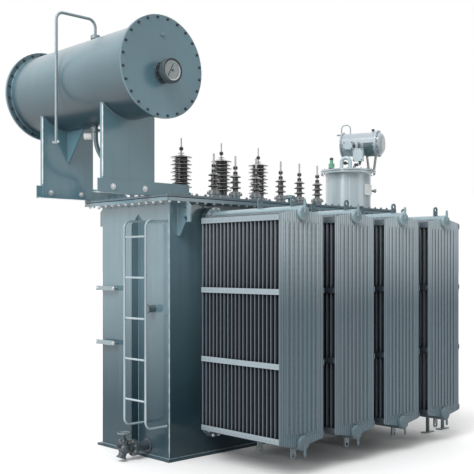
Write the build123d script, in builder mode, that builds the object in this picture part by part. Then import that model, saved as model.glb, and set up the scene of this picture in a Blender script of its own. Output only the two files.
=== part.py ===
"""Oil-filled power transformer with detachable panel radiators on one long side.

Millimetres, +Z up. The origin is the centre of the tank's foot, on the ground. +X runs along the
tank towards the tap changer, -Y is the radiator side, and the ladder and the conservator are at -X.
"""

from build123d import *
from math import radians, tan
import os

os.makedirs("parts", exist_ok=True)

# Tank, its foot plate, rim, gasket and bolted cover
tank_length = 2960
tank_width = 1000
tank_corner_radius = 14
tank_wall = 10
foot_thickness = 20
foot_overhang = 30
rim_bottom = 2224
rim_thickness = 30
rim_overhang = 122
rim_corner_radius = 25
gasket_thickness = 6
gasket_inset = 14
cover_thickness = 20

# Flat bars that stiffen the walls
stiffener_depth = 78
stiffener_thickness = 10
stiffener_snipe = 100
stiffener_gap = 90
end_stiffener_y = -62
far_stiffener_pitch = 590
far_stiffener_count = 5

# Lifting lugs under the rim, by the four corners
lug_reach = 165
lug_height = 290
lug_thickness = 16
lug_setback = 103
lug_chamfer = 40
lug_shoulder_drop = 175
lug_shoulder_reach = 100
lug_tip = 30
lug_hole_radius = 22
lug_hole_reach = 102
lug_hole_drop = 64
lug_hole_pitch = 81

# Radiators: pressed panels on two header pipes
radiator_count = 4
radiator_pitch = 669
radiator_first_x = 440
panel_count = 21
panel_pitch = 45
panel_width = 520
panel_thickness = 13
panel_edge = 18
panel_edge_taper = 4.5
panel_slope = 10
panel_inner_gap = 215
header_distance = 1826
header_low_z = 268
header_radius = 62
header_cap_reach = 32
header_cap_fillet = 18
header_apex_cover = 36
plug_radius = 11
plug_height = 34
plug_inset = 30
flute_count = 8
flute_depth = 5
flute_width = 34
flute_side_angle = 72
flute_margin = 55
flute_end_gap = 78
band_height = 45
band_thickness = 6
band_count = 4
band_end_inset = 6

# Butterfly valves between the tank and the headers
valve_flange_radius = 98
valve_flange_thickness = 16
valve_stub_length = 34
valve_wafer_radius = 84
valve_wafer_thickness = 36
valve_spindle_radius = 9
valve_spindle_height = 36
valve_lever_length = 105
valve_lever_width = 20
valve_lever_thickness = 8

# Eye plates on the headers
hanger_reaches = (435, 810)
hanger_width = 58
hanger_height = 84
hanger_thickness = 12
hanger_hole_radius = 15

# Stand that steadies the last radiator
post_radius = 18
post_spacing = 265
post_y = -1250
post_foot_length = 150
post_foot_width = 60
post_foot_thickness = 10
stand_rail_height = 40
stand_rail_thickness = 8

# Ladder of round bar on the end wall
ladder_bar_radius = 10
ladder_rung_radius = 9
ladder_standoff = 225
ladder_width = 297
ladder_edge = 37
ladder_bend_radius = 60
ladder_top_z = 2062
ladder_bottom_z = 300
ladder_rung_count = 5
ladder_first_rung_z = 531
ladder_rung_pitch = 348

# Fittings on the end wall
wall_bar_length = 290
wall_bar_height = 42
wall_bar_thickness = 10
wall_bar_standoff = 45
wall_bar_y = 370
wall_bar_zs = (970, 1470)
wall_peg_radius = 9
wall_peg_inset = 30
pocket_y = -282
pocket_z = 1302
pocket_radius = 33
pocket_length = 62
pocket_cap_radius = 40
pocket_cap_length = 14

# Drain valve: an angle valve on a stub, with its outlet down and away from the tank
drain_y = -200
drain_z = 102
drain_pad_radius = 62
drain_pad_thickness = 10
drain_pipe_radius = 40
drain_pipe_length = 145
drain_flange_radius = 73
drain_flange_thickness = 13
drain_gasket_thickness = 3
drain_body_radius = 50
drain_body_reach = 82
drain_neck_radius = 36
drain_bonnet_radius = 34
drain_bonnet_top = 76
drain_bonnet_flange_radius = 45
drain_bonnet_flange_thickness = 12
drain_gland_radius = 17
drain_gland_height = 24
drain_stem_radius = 9
drain_stem_height = 130
drain_outlet_radius = 35
drain_outlet_length = 66
drain_outlet_turn = 22
drain_outlet_flange_radius = 45
drain_outlet_flange_thickness = 16
drain_plug_radius = 14
drain_plug_length = 82
drain_wheel_radius = 58
drain_wheel_bar = 7
drain_spoke_count = 4
drain_spoke_radius = 4.5
drain_hub_radius = 15

# Conservator, the oil drum above the end wall, and what carries it
drum_x = -335
drum_y = 65
drum_z = 3271
drum_length = 1786
drum_radius = 368
drum_wall = 8
drum_flange_radius = 413
drum_flange_thickness = 14
drum_cover_thickness = 14
gauge_radius = 100
gauge_throat_radius = 52
gauge_throat_length = 85
gauge_case_length = 46
gauge_drop = 50
gauge_bezel = 10
gauge_recess = 7
beam_length = 970
beam_height = 112
beam_leg = 75
beam_wall = 10
beam_left_x = -655
support_width = 537
support_thickness = 10
support_return = 26
support_ys = (-370, 560)
saddle_clearance = 0.3
gusset_drop = 300
gusset_reach = 250
gusset_thickness = 10

# Breather pipe from the drum's top, and the oil pipe with its relay down to the cover
breather_pipe_radius = 13
breather_y = 118
breather_rise = 196
breather_drop_x = -730
breather_end_z = 2730
breather_bend_radius = 70
breather_stub_height = 30
breather_flange_radius = 42
breather_flange_thickness = 14
breather_hood_radius = 36
breather_hood_height = 22
oil_pipe_radius = 21
oil_pipe_y = 110
oil_pipe_drop = 330
oil_pipe_rise = 110
oil_pipe_bends = (250, 100)
oil_pipe_cover_x = 60
oil_flange_radius = 44
oil_flange_thickness = 12
oil_flange_drop = 30
relay_width = 104
relay_depth = 88
relay_height = 110
relay_fillet = 14
relay_stub_height = 40

# Bushings on the cover
hv_y = 280
hv_xs = (782, 1314, 1846)
hv_shed_radius = 107
hv_small_shed_radius = 94
hv_core_radius = 60
hv_shed_count = 9
hv_shed_pitch = 36.6
hv_first_shed_z = 158
hv_riser_radius = 92
hv_riser_height = 66
hv_base_radius = 118
hv_base_thickness = 18
hv_clamp_radius = 98
hv_clamp_height = 26
hv_spindle_radius = 11
hv_collar_radius = 31
hv_collar_rise = 18
hv_collar_height = 6
hv_ball_radius = 20
hv_ball_rise = 66
hv_rod_radius = 7
hv_rod_height = 104
lv_y = -250
lv_xs = (735, 1012, 1289, 1637, 1914, 2191)
lv_shed_radius = 55
lv_core_radius = 27
lv_shed_count = 3
lv_shed_pitch = 52
lv_first_shed_z = 132
lv_riser_radius = 46
lv_riser_height = 62
lv_base_radius = 66
lv_base_thickness = 14
lv_clamp_radius = 50
lv_clamp_height = 22
lv_rod_radius = 9
lv_rod_height = 180
lv_block_size = 30
lv_block_heights = (22, 32)
lv_block_rises = (4, 52)
shed_rim = 5
shed_slope = 14
shed_under = 6
shed_top_gap = 8

# Tap changer turret on the cover's far end
turret_x = 2735
turret_y = -220
turret_radius = 246
turret_height = 410
turret_flange_radius = 300
turret_flange_thickness = 18
turret_joint_gap = 5
turret_joint_inset = 22

# Small oil drum over the turret. Its axis is turned from -Y, and its pieces are placed by their
# reach along that axis and by how far they lie across it, towards the tank's middle
tap_drum_turn = 22
tap_drum_reach = -55
tap_drum_length = 400
tap_drum_z = 2990
tap_drum_radius = 126
tap_flange_radius = 143
tap_flange_thickness = 14
tap_dome_radius = 120
tap_dome_rise = 50
tap_dome_fillet = 45
tap_filler_reach = 280
tap_filler_radius = 15
tap_filler_height = 34
tap_cradle_reach = 208
tap_cradle_length = 108
tap_cradle_wall = 8
tap_leg_width = 60
tap_leg_thickness = 10
tap_leg_lean = 20
tap_relay_reach = 172
tap_relay_across = 190
tap_relay_length = 112
tap_relay_depth = 58
tap_relay_height = 134
tap_relay_base_z = 2787
tap_relay_fillet = 8
tap_feed_reach = 150
tap_feed_radius = 19
tap_feed_bend = 36
tap_drain_pipe_radius = 13
tap_drain_pipe_reaches = (190, 128)
tap_drain_pipe_drop = 34
tap_drain_pipe_bend = 18
tap_gooseneck_reaches = (-15, 80)
tap_gooseneck_radius = 20
tap_gooseneck_height = 118
tap_gooseneck_bend = 46
tap_pipe_flange_radius = 34
tap_pipe_flange_thickness = 10
tap_box_reach = 55
tap_box_length = 102
tap_box_front = 190
tap_box_z = 2963
tap_box_height = 80
tap_box_fillet = 8
tap_vent_reaches = (26, -75)
tap_vent_radius = 7
tap_vent_rise = 96
tap_vent_bend = 44
tap_stub_radius = 10
tap_stub_length = 72
tap_stub_rise = 118
tap_breather_xy = (-255, 20)
tap_breather_stages = ((32, 58), (18, 54), (10, 14))

# Levels and faces that the sizes above give
left_x = -tank_length / 2
near_y = -tank_width / 2
rim_top = rim_bottom + rim_thickness
cover_bottom = rim_top + gasket_thickness
cover_top = cover_bottom + cover_thickness
rim_length = tank_length + 2 * rim_overhang
rim_width = tank_width + 2 * rim_overhang
core_length = tank_length - 2 * tank_wall
core_width = tank_width - 2 * tank_wall
header_high_z = header_low_z + header_distance
apex_rise = panel_width / 2 * tan(radians(panel_slope))
panel_apex_high = header_high_z + header_apex_cover
panel_apex_low = header_low_z - header_apex_cover
panel_inner_y = near_y - panel_inner_gap
panel_outer_y = panel_inner_y - (panel_count - 1) * panel_pitch - panel_thickness
valve_length = valve_stub_length + valve_flange_thickness + valve_wafer_thickness
header_start_y = near_y - valve_length
header_end_y = panel_outer_y - header_cap_reach
radiator_xs = [left_x + radiator_first_x + i * radiator_pitch for i in range(radiator_count)]
band_low_z = panel_apex_low + apex_rise + band_end_inset + band_height / 2
band_high_z = panel_apex_high - apex_rise - band_end_inset - band_height / 2


def save(builder, label):
    """Name a finished piece and write it to its own file."""
    builder.part.label = label
    export_step(builder.part, f"parts/{label}.step")


def towards_viewer(x, y, z=0):
    """A plane facing -Y at a point, with its own X along the tank and its own Y up."""
    return Plane((x, y, z), x_dir=(1, 0, 0), z_dir=(0, -1, 0))


# Foot plate, tank, rim, gasket and cover
with BuildPart() as foot_plate:
    with BuildSketch():
        Rectangle(tank_length + 2 * foot_overhang, tank_width + 2 * foot_overhang)
    extrude(amount=foot_thickness)
save(foot_plate, "foot_plate")

with BuildPart() as tank:
    with BuildSketch(Plane.XY.offset(foot_thickness)):
        RectangleRounded(tank_length, tank_width, tank_corner_radius)
    extrude(amount=rim_bottom - foot_thickness)
    with BuildSketch(Plane.XY.offset(rim_bottom)):
        Rectangle(core_length, core_width)
    extrude(amount=cover_bottom - rim_bottom)
save(tank, "tank")

with BuildPart() as tank_rim:
    with BuildSketch(Plane.XY.offset(rim_bottom)):
        RectangleRounded(rim_length, rim_width, rim_corner_radius)
        Rectangle(core_length, core_width, mode=Mode.SUBTRACT)
    extrude(amount=rim_thickness)
save(tank_rim, "tank_rim")

with BuildPart() as cover_gasket:
    with BuildSketch(Plane.XY.offset(rim_top)):
        Rectangle(rim_length - 2 * gasket_inset, rim_width - 2 * gasket_inset)
        Rectangle(core_length, core_width, mode=Mode.SUBTRACT)
    extrude(amount=gasket_thickness)
save(cover_gasket, "cover_gasket")

with BuildPart() as cover:
    with BuildSketch(Plane.XY.offset(cover_bottom)):
        RectangleRounded(rim_length, rim_width, rim_corner_radius)
    extrude(amount=cover_thickness)
save(cover, "cover")


# Flat-bar stiffeners with sniped ends
def stiffener_face(plane, wall, out):
    """The side of one flat bar standing on edge on a wall; out is +1 or -1, away from the tank."""
    edge = wall + out * stiffener_depth
    low = foot_thickness
    high = rim_bottom - stiffener_gap
    with BuildSketch(plane) as face:
        Polygon(
            (wall, low),
            (edge, low + stiffener_snipe),
            (edge, high - stiffener_snipe),
            (wall, high),
            align=None,
        )
    return face.sketch


with BuildPart() as end_stiffeners:
    for side in (-1, 1):
        plane = Plane.XZ.offset(-end_stiffener_y)
        extrude(stiffener_face(plane, side * tank_length / 2, side), amount=stiffener_thickness / 2, both=True)
save(end_stiffeners, "end_stiffeners")

with BuildPart() as far_stiffeners:
    for i in range(far_stiffener_count):
        plane = Plane.YZ.offset((i - (far_stiffener_count - 1) / 2) * far_stiffener_pitch)
        extrude(stiffener_face(plane, tank_width / 2, 1), amount=stiffener_thickness / 2, both=True)
save(far_stiffeners, "far_stiffeners")

with BuildPart() as lifting_lugs:
    for end in (-1, 1):
        for side in (-1, 1):
            wall = side * tank_width / 2
            with BuildSketch(Plane.YZ.offset(end * (tank_length / 2 - lug_setback))):
                Polygon(
                    (wall, rim_bottom),
                    (wall + side * (lug_reach - lug_chamfer), rim_bottom),
                    (wall + side * lug_reach, rim_bottom - lug_chamfer),
                    (wall + side * lug_reach, rim_bottom - lug_shoulder_drop),
                    (wall + side * lug_shoulder_reach, rim_bottom - lug_shoulder_drop),
                    (wall + side * lug_tip, rim_bottom - lug_height),
                    (wall, rim_bottom - lug_height),
                    align=None,
                )
                for i in range(2):
                    hole_z = rim_bottom - lug_hole_drop - i * lug_hole_pitch
                    with Locations((wall + side * lug_hole_reach, hole_z)):
                        Circle(lug_hole_radius, mode=Mode.SUBTRACT)
            extrude(amount=lug_thickness / 2, both=True)
save(lifting_lugs, "lifting_lugs")


# Radiators: a panel has upright sides and roof-shaped ends, and is notched round both headers
with BuildSketch() as panel_face:
    with BuildLine():
        Polyline(
            (-panel_width / 2, panel_apex_low + apex_rise),
            (0, panel_apex_low),
            (panel_width / 2, panel_apex_low + apex_rise),
            (panel_width / 2, panel_apex_high - apex_rise),
            (0, panel_apex_high),
            (-panel_width / 2, panel_apex_high - apex_rise),
            close=True,
        )
    make_face()
    with Locations((0, header_low_z), (0, header_high_z)):
        Circle(header_radius, mode=Mode.SUBTRACT)

# One plain panel, its long edges pressed thin where the two sheets are seam-welded
with BuildPart() as plain_panel:
    with BuildSketch(towards_viewer(0, 0)):
        add(panel_face.sketch_local)
    extrude(amount=panel_thickness)
    side_faces = plain_panel.faces().filter_by(Axis.X)
    long_edges = side_faces.edges().filter_by(Axis.Z)
    chamfer(long_edges, length=panel_edge_taper, length2=panel_edge)

# The outermost panel shows the upright flutes pressed into its face
flute_pitch = (panel_width - 2 * flute_margin) / flute_count
flute_low_z = header_low_z + flute_end_gap
flute_length = header_distance - 2 * flute_end_gap
with BuildPart() as fluted_panel:
    add(plain_panel.part)
    with BuildSketch(Plane((0, -panel_thickness, flute_low_z))):
        with GridLocations(flute_pitch, 0, flute_count, 1):
            Trapezoid(flute_width, flute_depth, flute_side_angle, rotation=180, align=(Align.CENTER, Align.MIN))
    extrude(amount=flute_length)


def radiator(number, x):
    """One radiator: its panels and its two header pipes."""
    with BuildPart() as panels:
        for i in range(panel_count - 1):
            with Locations((x, panel_inner_y - i * panel_pitch, 0)):
                add(plain_panel.part)
        with Locations((x, panel_inner_y - (panel_count - 1) * panel_pitch, 0)):
            add(fluted_panel.part)
    save(panels, f"radiator_{number}_panels")

    with BuildPart() as headers:
        for z in (header_low_z, header_high_z):
            with BuildSketch(towards_viewer(x, header_start_y, z)):
                Circle(header_radius)
            extrude(amount=header_start_y - header_end_y)
            with BuildSketch(towards_viewer(x, header_start_y, z)):
                Circle(valve_flange_radius)
            extrude(amount=valve_flange_thickness)
        fillet(headers.faces().filter_by(Axis.Y).group_by(Axis.Y)[0].edges(), radius=header_cap_fillet)
        for z, up in ((header_low_z, -1), (header_high_z, 1)):
            plug_y = panel_outer_y - plug_inset
            with BuildSketch(Plane((x, plug_y, z), z_dir=(0, 0, up))):
                Circle(plug_radius)
            extrude(amount=header_radius + plug_height)
    save(headers, f"radiator_{number}_headers")


for number, x in enumerate(radiator_xs, start=1):
    radiator(number, x)

with BuildPart() as radiator_bands:
    for x in radiator_xs:
        for side in (-1, 1):
            edge = x + side * (panel_width / 2 + band_thickness / 2)
            for i in range(band_count):
                z = band_low_z + (band_high_z - band_low_z) * i / (band_count - 1)
                with Locations((edge, (panel_inner_y + panel_outer_y) / 2, z)):
                    Box(band_thickness, panel_inner_y - panel_outer_y, band_height)
save(radiator_bands, "radiator_bands")

with BuildPart() as radiator_valves:
    for x in radiator_xs:
        for z in (header_low_z, header_high_z):
            with BuildSketch(towards_viewer(x, near_y, z)):
                Circle(header_radius)
            extrude(amount=valve_stub_length)
            with BuildSketch(towards_viewer(x, near_y - valve_stub_length, z)):
                Circle(valve_flange_radius)
            extrude(amount=valve_flange_thickness)
            wafer_y = near_y - valve_stub_length - valve_flange_thickness
            with BuildSketch(towards_viewer(x, wafer_y, z)):
                Circle(valve_wafer_radius)
            extrude(amount=valve_wafer_thickness)
            spindle_y = wafer_y - valve_wafer_thickness / 2
            spindle_top = z + valve_wafer_radius + valve_spindle_height
            with BuildSketch(Plane((x, spindle_y, z))):
                Circle(valve_spindle_radius)
            extrude(amount=spindle_top - z)
            with Locations((x + valve_lever_length / 2 - valve_lever_width / 2, spindle_y, spindle_top)):
                Box(valve_lever_length, valve_lever_width, valve_lever_thickness)
save(radiator_valves, "radiator_valves")

with BuildPart() as radiator_hangers:
    for x in radiator_xs:
        for reach in hanger_reaches:
            for z, up in ((header_low_z, -1), (header_high_z, 1)):
                eye_z = z + up * (header_radius + hanger_height - hanger_width / 2)
                with BuildSketch(towards_viewer(x, panel_inner_y - reach)):
                    with Locations((0, (z + eye_z) / 2)):
                        Rectangle(hanger_width, abs(eye_z - z))
                    with Locations((0, eye_z)):
                        Circle(hanger_width / 2)
                        Circle(hanger_hole_radius, mode=Mode.SUBTRACT)
                    with Locations((0, z)):
                        Circle(header_radius, mode=Mode.SUBTRACT)
                extrude(amount=hanger_thickness)
save(radiator_hangers, "radiator_hangers")

# Stand beside the last radiator: two tubes on foot plates and a rail fixed to its lowest band
with BuildPart() as radiator_posts:
    band_face_x = radiator_xs[-1] + panel_width / 2 + band_thickness
    post_xs = [band_face_x + post_radius + i * post_spacing for i in range(2)]
    post_top = band_low_z + stand_rail_height / 2
    for post_x in post_xs:
        with Locations((post_x, post_y, post_foot_thickness / 2)):
            Box(post_foot_length, post_foot_width, post_foot_thickness)
        with BuildSketch(Plane.XY.offset(post_foot_thickness)):
            with Locations((post_x, post_y)):
                Circle(post_radius)
        extrude(amount=post_top - post_foot_thickness)
    rail_length = post_xs[-1] + post_radius - band_face_x
    with Locations((band_face_x + rail_length / 2, post_y, band_low_z)):
        Box(rail_length, stand_rail_thickness, stand_rail_height)
save(radiator_posts, "radiator_posts")

# Ladder
with BuildPart() as ladder:
    ladder_x = left_x - ladder_standoff
    ladder_ys = (near_y + ladder_edge, near_y + ladder_edge + ladder_width)
    for y in ladder_ys:
        with BuildLine(Plane.XZ.offset(-y)) as rail:
            FilletPolyline(
                (left_x, ladder_top_z),
                (ladder_x, ladder_top_z),
                (ladder_x, ladder_bottom_z),
                (left_x, ladder_bottom_z),
                radius=ladder_bend_radius,
            )
        with BuildSketch(Plane(rail.line @ 0, z_dir=rail.line % 0)):
            Circle(ladder_bar_radius)
        sweep(path=rail.line)
    for i in range(ladder_rung_count):
        z = ladder_first_rung_z + i * ladder_rung_pitch
        with BuildSketch(Plane((ladder_x, ladder_ys[0], z), z_dir=(0, 1, 0))):
            Circle(ladder_rung_radius)
        extrude(amount=ladder_width)
save(ladder, "ladder")

# End-wall fittings
with BuildPart() as wall_bars:
    for z in wall_bar_zs:
        bar_x = left_x - wall_bar_standoff
        with Locations((bar_x - wall_bar_thickness / 2, wall_bar_y, z)):
            Box(wall_bar_thickness, wall_bar_length, wall_bar_height)
        for side in (-1, 1):
            peg_y = wall_bar_y + side * (wall_bar_length / 2 - wall_peg_inset)
            with BuildSketch(Plane((left_x, peg_y, z), z_dir=(-1, 0, 0))):
                Circle(wall_peg_radius)
            extrude(amount=wall_bar_standoff)
save(wall_bars, "wall_bars")

with BuildPart() as thermometer_pocket:
    pocket_plane = Plane((left_x, pocket_y, pocket_z), z_dir=(-1, 0, 0))
    with BuildSketch(pocket_plane):
        Circle(pocket_radius)
    extrude(amount=pocket_length)
    with BuildSketch(pocket_plane.offset(pocket_length)):
        RegularPolygon(pocket_cap_radius, 6)
    extrude(amount=pocket_cap_length)
save(thermometer_pocket, "thermometer_pocket")

# Drain valve: stub with a pad, a pair of flanges, round body, bonnet, stem and angled outlet
drain_plane = Plane((left_x, drain_y, drain_z), z_dir=(-1, 0, 0))
drain_pair_length = 2 * drain_flange_thickness + drain_gasket_thickness
valve_reach = drain_pipe_length + drain_pair_length + drain_body_reach
valve_x = left_x - valve_reach
with BuildPart() as drain_valve:
    with BuildSketch(drain_plane):
        Circle(drain_pad_radius)
    extrude(amount=drain_pad_thickness)
    with BuildSketch(drain_plane):
        Circle(drain_pipe_radius)
    extrude(amount=drain_pipe_length + drain_pair_length)
    for start in (drain_pipe_length, drain_pipe_length + drain_pair_length - drain_flange_thickness):
        with BuildSketch(drain_plane.offset(start)):
            Circle(drain_flange_radius)
        extrude(amount=drain_flange_thickness)
    with BuildSketch(drain_plane.offset(drain_pipe_length + drain_pair_length)):
        Circle(drain_neck_radius)
    extrude(amount=drain_body_reach)
    with Locations((valve_x, drain_y, drain_z)):
        Sphere(drain_body_radius)
    bonnet_plane = Plane((valve_x, drain_y, drain_z))
    with BuildSketch(bonnet_plane):
        Circle(drain_bonnet_radius)
    extrude(amount=drain_bonnet_top)
    with BuildSketch(bonnet_plane.offset(drain_bonnet_top - drain_bonnet_flange_thickness)):
        RegularPolygon(drain_bonnet_flange_radius, 8)
    extrude(amount=drain_bonnet_flange_thickness)
    with BuildSketch(bonnet_plane.offset(drain_bonnet_top)):
        Circle(drain_gland_radius)
    extrude(amount=drain_gland_height)
    with BuildSketch(bonnet_plane.offset(drain_bonnet_top + drain_gland_height)):
        Circle(drain_stem_radius)
    extrude(amount=drain_stem_height - drain_bonnet_top - drain_gland_height)
    outlet_plane = bonnet_plane.rotated((0, 180 + drain_outlet_turn, 0))
    with BuildSketch(outlet_plane):
        Circle(drain_outlet_radius)
    extrude(amount=drain_outlet_length)
    with BuildSketch(outlet_plane.offset(drain_outlet_length)):
        Circle(drain_outlet_flange_radius)
    extrude(amount=drain_outlet_flange_thickness)
    with BuildSketch(Plane((valve_x, drain_y, drain_z + drain_bonnet_radius), z_dir=(-1, 0, 0))):
        Circle(drain_plug_radius)
    extrude(amount=drain_plug_length)
save(drain_valve, "drain_valve")

with BuildPart() as drain_handwheel:
    wheel_z = drain_z + drain_stem_height + drain_wheel_bar
    with Locations((valve_x, drain_y, wheel_z)):
        Torus(drain_wheel_radius - drain_wheel_bar, drain_wheel_bar)
        Cylinder(drain_hub_radius, 2 * drain_wheel_bar)
    with Locations((valve_x, drain_y, wheel_z)):
        with PolarLocations(0, drain_spoke_count):
            spoke_length = drain_wheel_radius - drain_wheel_bar
            Cylinder(drain_spoke_radius, spoke_length, rotation=(0, 90, 0), align=(Align.CENTER, Align.CENTER, Align.MIN))
save(drain_handwheel, "drain_handwheel")

# Conservator drum, its flanges and covers
drum_centre_x = left_x + drum_x
drum_near_y = drum_y - drum_length / 2
drum_far_y = drum_y + drum_length / 2
shell_length = drum_length - 2 * drum_cover_thickness
with BuildPart() as conservator:
    drum_plane = towards_viewer(drum_centre_x, drum_far_y - drum_cover_thickness, drum_z)
    with BuildSketch(drum_plane):
        Circle(drum_radius)
    extrude(amount=shell_length)
    for start in (0, shell_length - drum_flange_thickness):
        with BuildSketch(drum_plane.offset(start)):
            Circle(drum_flange_radius)
        extrude(amount=drum_flange_thickness)
    with BuildSketch(drum_plane):
        Circle(drum_radius - drum_wall)
    extrude(amount=shell_length, mode=Mode.SUBTRACT)
save(conservator, "conservator")

with BuildPart() as conservator_covers:
    for y in (drum_far_y, drum_near_y + drum_cover_thickness):
        with BuildSketch(towards_viewer(drum_centre_x, y, drum_z)):
            Circle(drum_flange_radius)
        extrude(amount=drum_cover_thickness)
save(conservator_covers, "conservator_covers")

with BuildPart() as level_gauge:
    gauge_plane = towards_viewer(drum_centre_x, drum_near_y, drum_z - gauge_drop)
    with BuildSketch(gauge_plane):
        Circle(gauge_throat_radius)
    extrude(amount=gauge_throat_length)
    with BuildSketch(gauge_plane.offset(gauge_throat_length)):
        Circle(gauge_radius)
    extrude(amount=gauge_case_length)
    chamfer(level_gauge.faces().sort_by(Axis.Y)[0].edges(), length=gauge_bezel / 2)
    with BuildSketch(gauge_plane.offset(gauge_throat_length + gauge_case_length - gauge_recess)):
        Circle(gauge_radius - gauge_bezel)
    extrude(amount=gauge_recess, mode=Mode.SUBTRACT)
save(level_gauge, "level_gauge")

# Angle beams on the cover, each with its upright leg outside the plate that it carries
near_support_y, far_support_y = support_ys
with BuildPart() as conservator_beams:
    for web_y, inward in ((near_support_y - support_thickness, 1), (far_support_y, -1)):
        beam_plane = Plane.YZ.offset(left_x + beam_left_x)
        outer_y = web_y - inward * beam_wall
        with BuildSketch(beam_plane):
            Polygon(
                (outer_y, cover_top),
                (outer_y + inward * beam_leg, cover_top),
                (outer_y + inward * beam_leg, cover_top + beam_wall),
                (web_y, cover_top + beam_wall),
                (web_y, cover_top + beam_height),
                (outer_y, cover_top + beam_height),
                align=None,
            )
        extrude(amount=beam_length)
save(conservator_beams, "conservator_beams")


def drum_support(label, face_y, inward):
    """A saddle plate with folded edges and a gusset, both on the side that faces the other plate."""
    low = cover_top + beam_wall
    with BuildPart() as support:
        with BuildSketch(Plane((drum_centre_x, face_y, 0), x_dir=(inward, 0, 0), z_dir=(0, inward, 0))):
            with Locations((0, -(low + drum_z) / 2)):
                Rectangle(support_width, drum_z - low)
            with Locations((0, -drum_z)):
                Circle(drum_radius + saddle_clearance, mode=Mode.SUBTRACT)
        extrude(amount=support_thickness)
        fold_y = max(face_y, face_y + inward * support_thickness)
        fold_low = cover_top + beam_height
        with BuildSketch(Plane((drum_centre_x, fold_y, 0), x_dir=(1, 0, 0), z_dir=(0, 1, 0))):
            for side in (-1, 1):
                with Locations((side * (support_width - support_thickness) / 2, -(fold_low + drum_z) / 2)):
                    Rectangle(support_thickness, drum_z - fold_low)
            with Locations((0, -drum_z)):
                Circle(drum_radius + saddle_clearance, mode=Mode.SUBTRACT)
        extrude(amount=support_return)
        with BuildSketch(Plane.YZ.offset(drum_centre_x)):
            gusset_top = drum_z - drum_radius - saddle_clearance
            gusset_root = face_y + inward * support_thickness
            Polygon(
                (gusset_root, gusset_top),
                (gusset_root + inward * gusset_reach, gusset_top),
                (gusset_root, gusset_top - gusset_drop),
                align=None,
            )
        extrude(amount=gusset_thickness / 2, both=True)
    return support


for label, y, inward in (
    ("conservator_support_near", near_support_y - support_thickness, 1),
    ("conservator_support_far", far_support_y, -1),
):
    save(drum_support(label, y, inward), label)

# Breather pipe: up from a flanged stub on the drum, over its side and down to a small hood
drum_top = drum_z + drum_radius
breather_top_z = drum_top + breather_rise
breather_x = left_x + breather_drop_x
with BuildPart() as breather_pipe:
    with BuildLine(Plane.XZ.offset(-breather_y)) as breather_line:
        FilletPolyline(
            (drum_centre_x, drum_top),
            (drum_centre_x, breather_top_z),
            (breather_x, breather_top_z),
            (breather_x, breather_end_z),
            radius=breather_bend_radius,
        )
    with BuildSketch(Plane(breather_line.line @ 0, z_dir=breather_line.line % 0)):
        Circle(breather_pipe_radius)
    sweep(path=breather_line.line)
    with BuildSketch(Plane((drum_centre_x, breather_y, drum_top + breather_stub_height))):
        Circle(breather_flange_radius)
    extrude(amount=2 * breather_flange_thickness)
    hood_plane = Plane((breather_x, breather_y, breather_end_z))
    with BuildSketch(hood_plane.offset(-breather_hood_height)):
        Circle(breather_hood_radius)
    with BuildSketch(hood_plane):
        Circle(breather_pipe_radius)
    loft()
save(breather_pipe, "breather_pipe")

# Oil pipe from the drum's underside, through the gas relay, to the cover
drum_bottom = drum_z - drum_radius
oil_foot_x = left_x + oil_pipe_cover_x
relay_top = cover_top + relay_stub_height + relay_height
with BuildPart() as oil_pipe:
    with BuildLine(Plane.XZ.offset(-oil_pipe_y)) as oil_line:
        FilletPolyline(
            (drum_centre_x, drum_bottom),
            (drum_centre_x, drum_bottom - oil_pipe_drop),
            (oil_foot_x, relay_top + oil_pipe_rise),
            (oil_foot_x, relay_top),
            radius=oil_pipe_bends,
        )
    with BuildSketch(Plane(oil_line.line @ 0, z_dir=oil_line.line % 0)):
        Circle(oil_pipe_radius)
    sweep(path=oil_line.line)
    with BuildSketch(Plane((drum_centre_x, oil_pipe_y, drum_bottom - oil_flange_drop))):
        Circle(oil_flange_radius)
    extrude(amount=-2 * oil_flange_thickness)
    with BuildSketch(Plane((oil_foot_x, oil_pipe_y, relay_top))):
        Circle(oil_flange_radius)
    extrude(amount=oil_flange_thickness)
save(oil_pipe, "oil_pipe")

# Gas relay that the oil pipe runs down into, on a stub on the cover
with BuildPart() as oil_relay:
    with BuildSketch(Plane((oil_foot_x, oil_pipe_y, cover_top))):
        Circle(oil_pipe_radius)
    extrude(amount=relay_stub_height)
    with BuildSketch(Plane((oil_foot_x, oil_pipe_y, cover_top))):
        Circle(oil_flange_radius)
    extrude(amount=oil_flange_thickness)
    with BuildSketch(Plane((oil_foot_x, oil_pipe_y, cover_top + relay_stub_height))):
        RectangleRounded(relay_width, relay_depth, relay_fillet)
    extrude(amount=relay_height)
save(oil_relay, "oil_relay")


# Bushings: a metal riser, flange and clamp on the cover, then a turned porcelain and its terminal
def porcelain_profile(x, y, foot_z, first_z, radii, core, pitch):
    """Half outline of a porcelain in the plane through its axis; radii gives each shed from below."""
    points = [(0, foot_z), (core, foot_z)]
    for i, radius in enumerate(radii):
        z = first_z + i * pitch
        points += [(core, z + shed_under), (radius, z), (radius, z + shed_rim)]
        points += [(core, z + shed_rim + shed_slope)]
    top_z = first_z + (len(radii) - 1) * pitch + shed_rim + shed_slope + shed_top_gap
    points += [(core, top_z), (0, top_z)]
    with BuildSketch(towards_viewer(x, y)) as outline:
        Polygon(*points, align=None)
    return outline.sketch


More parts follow.
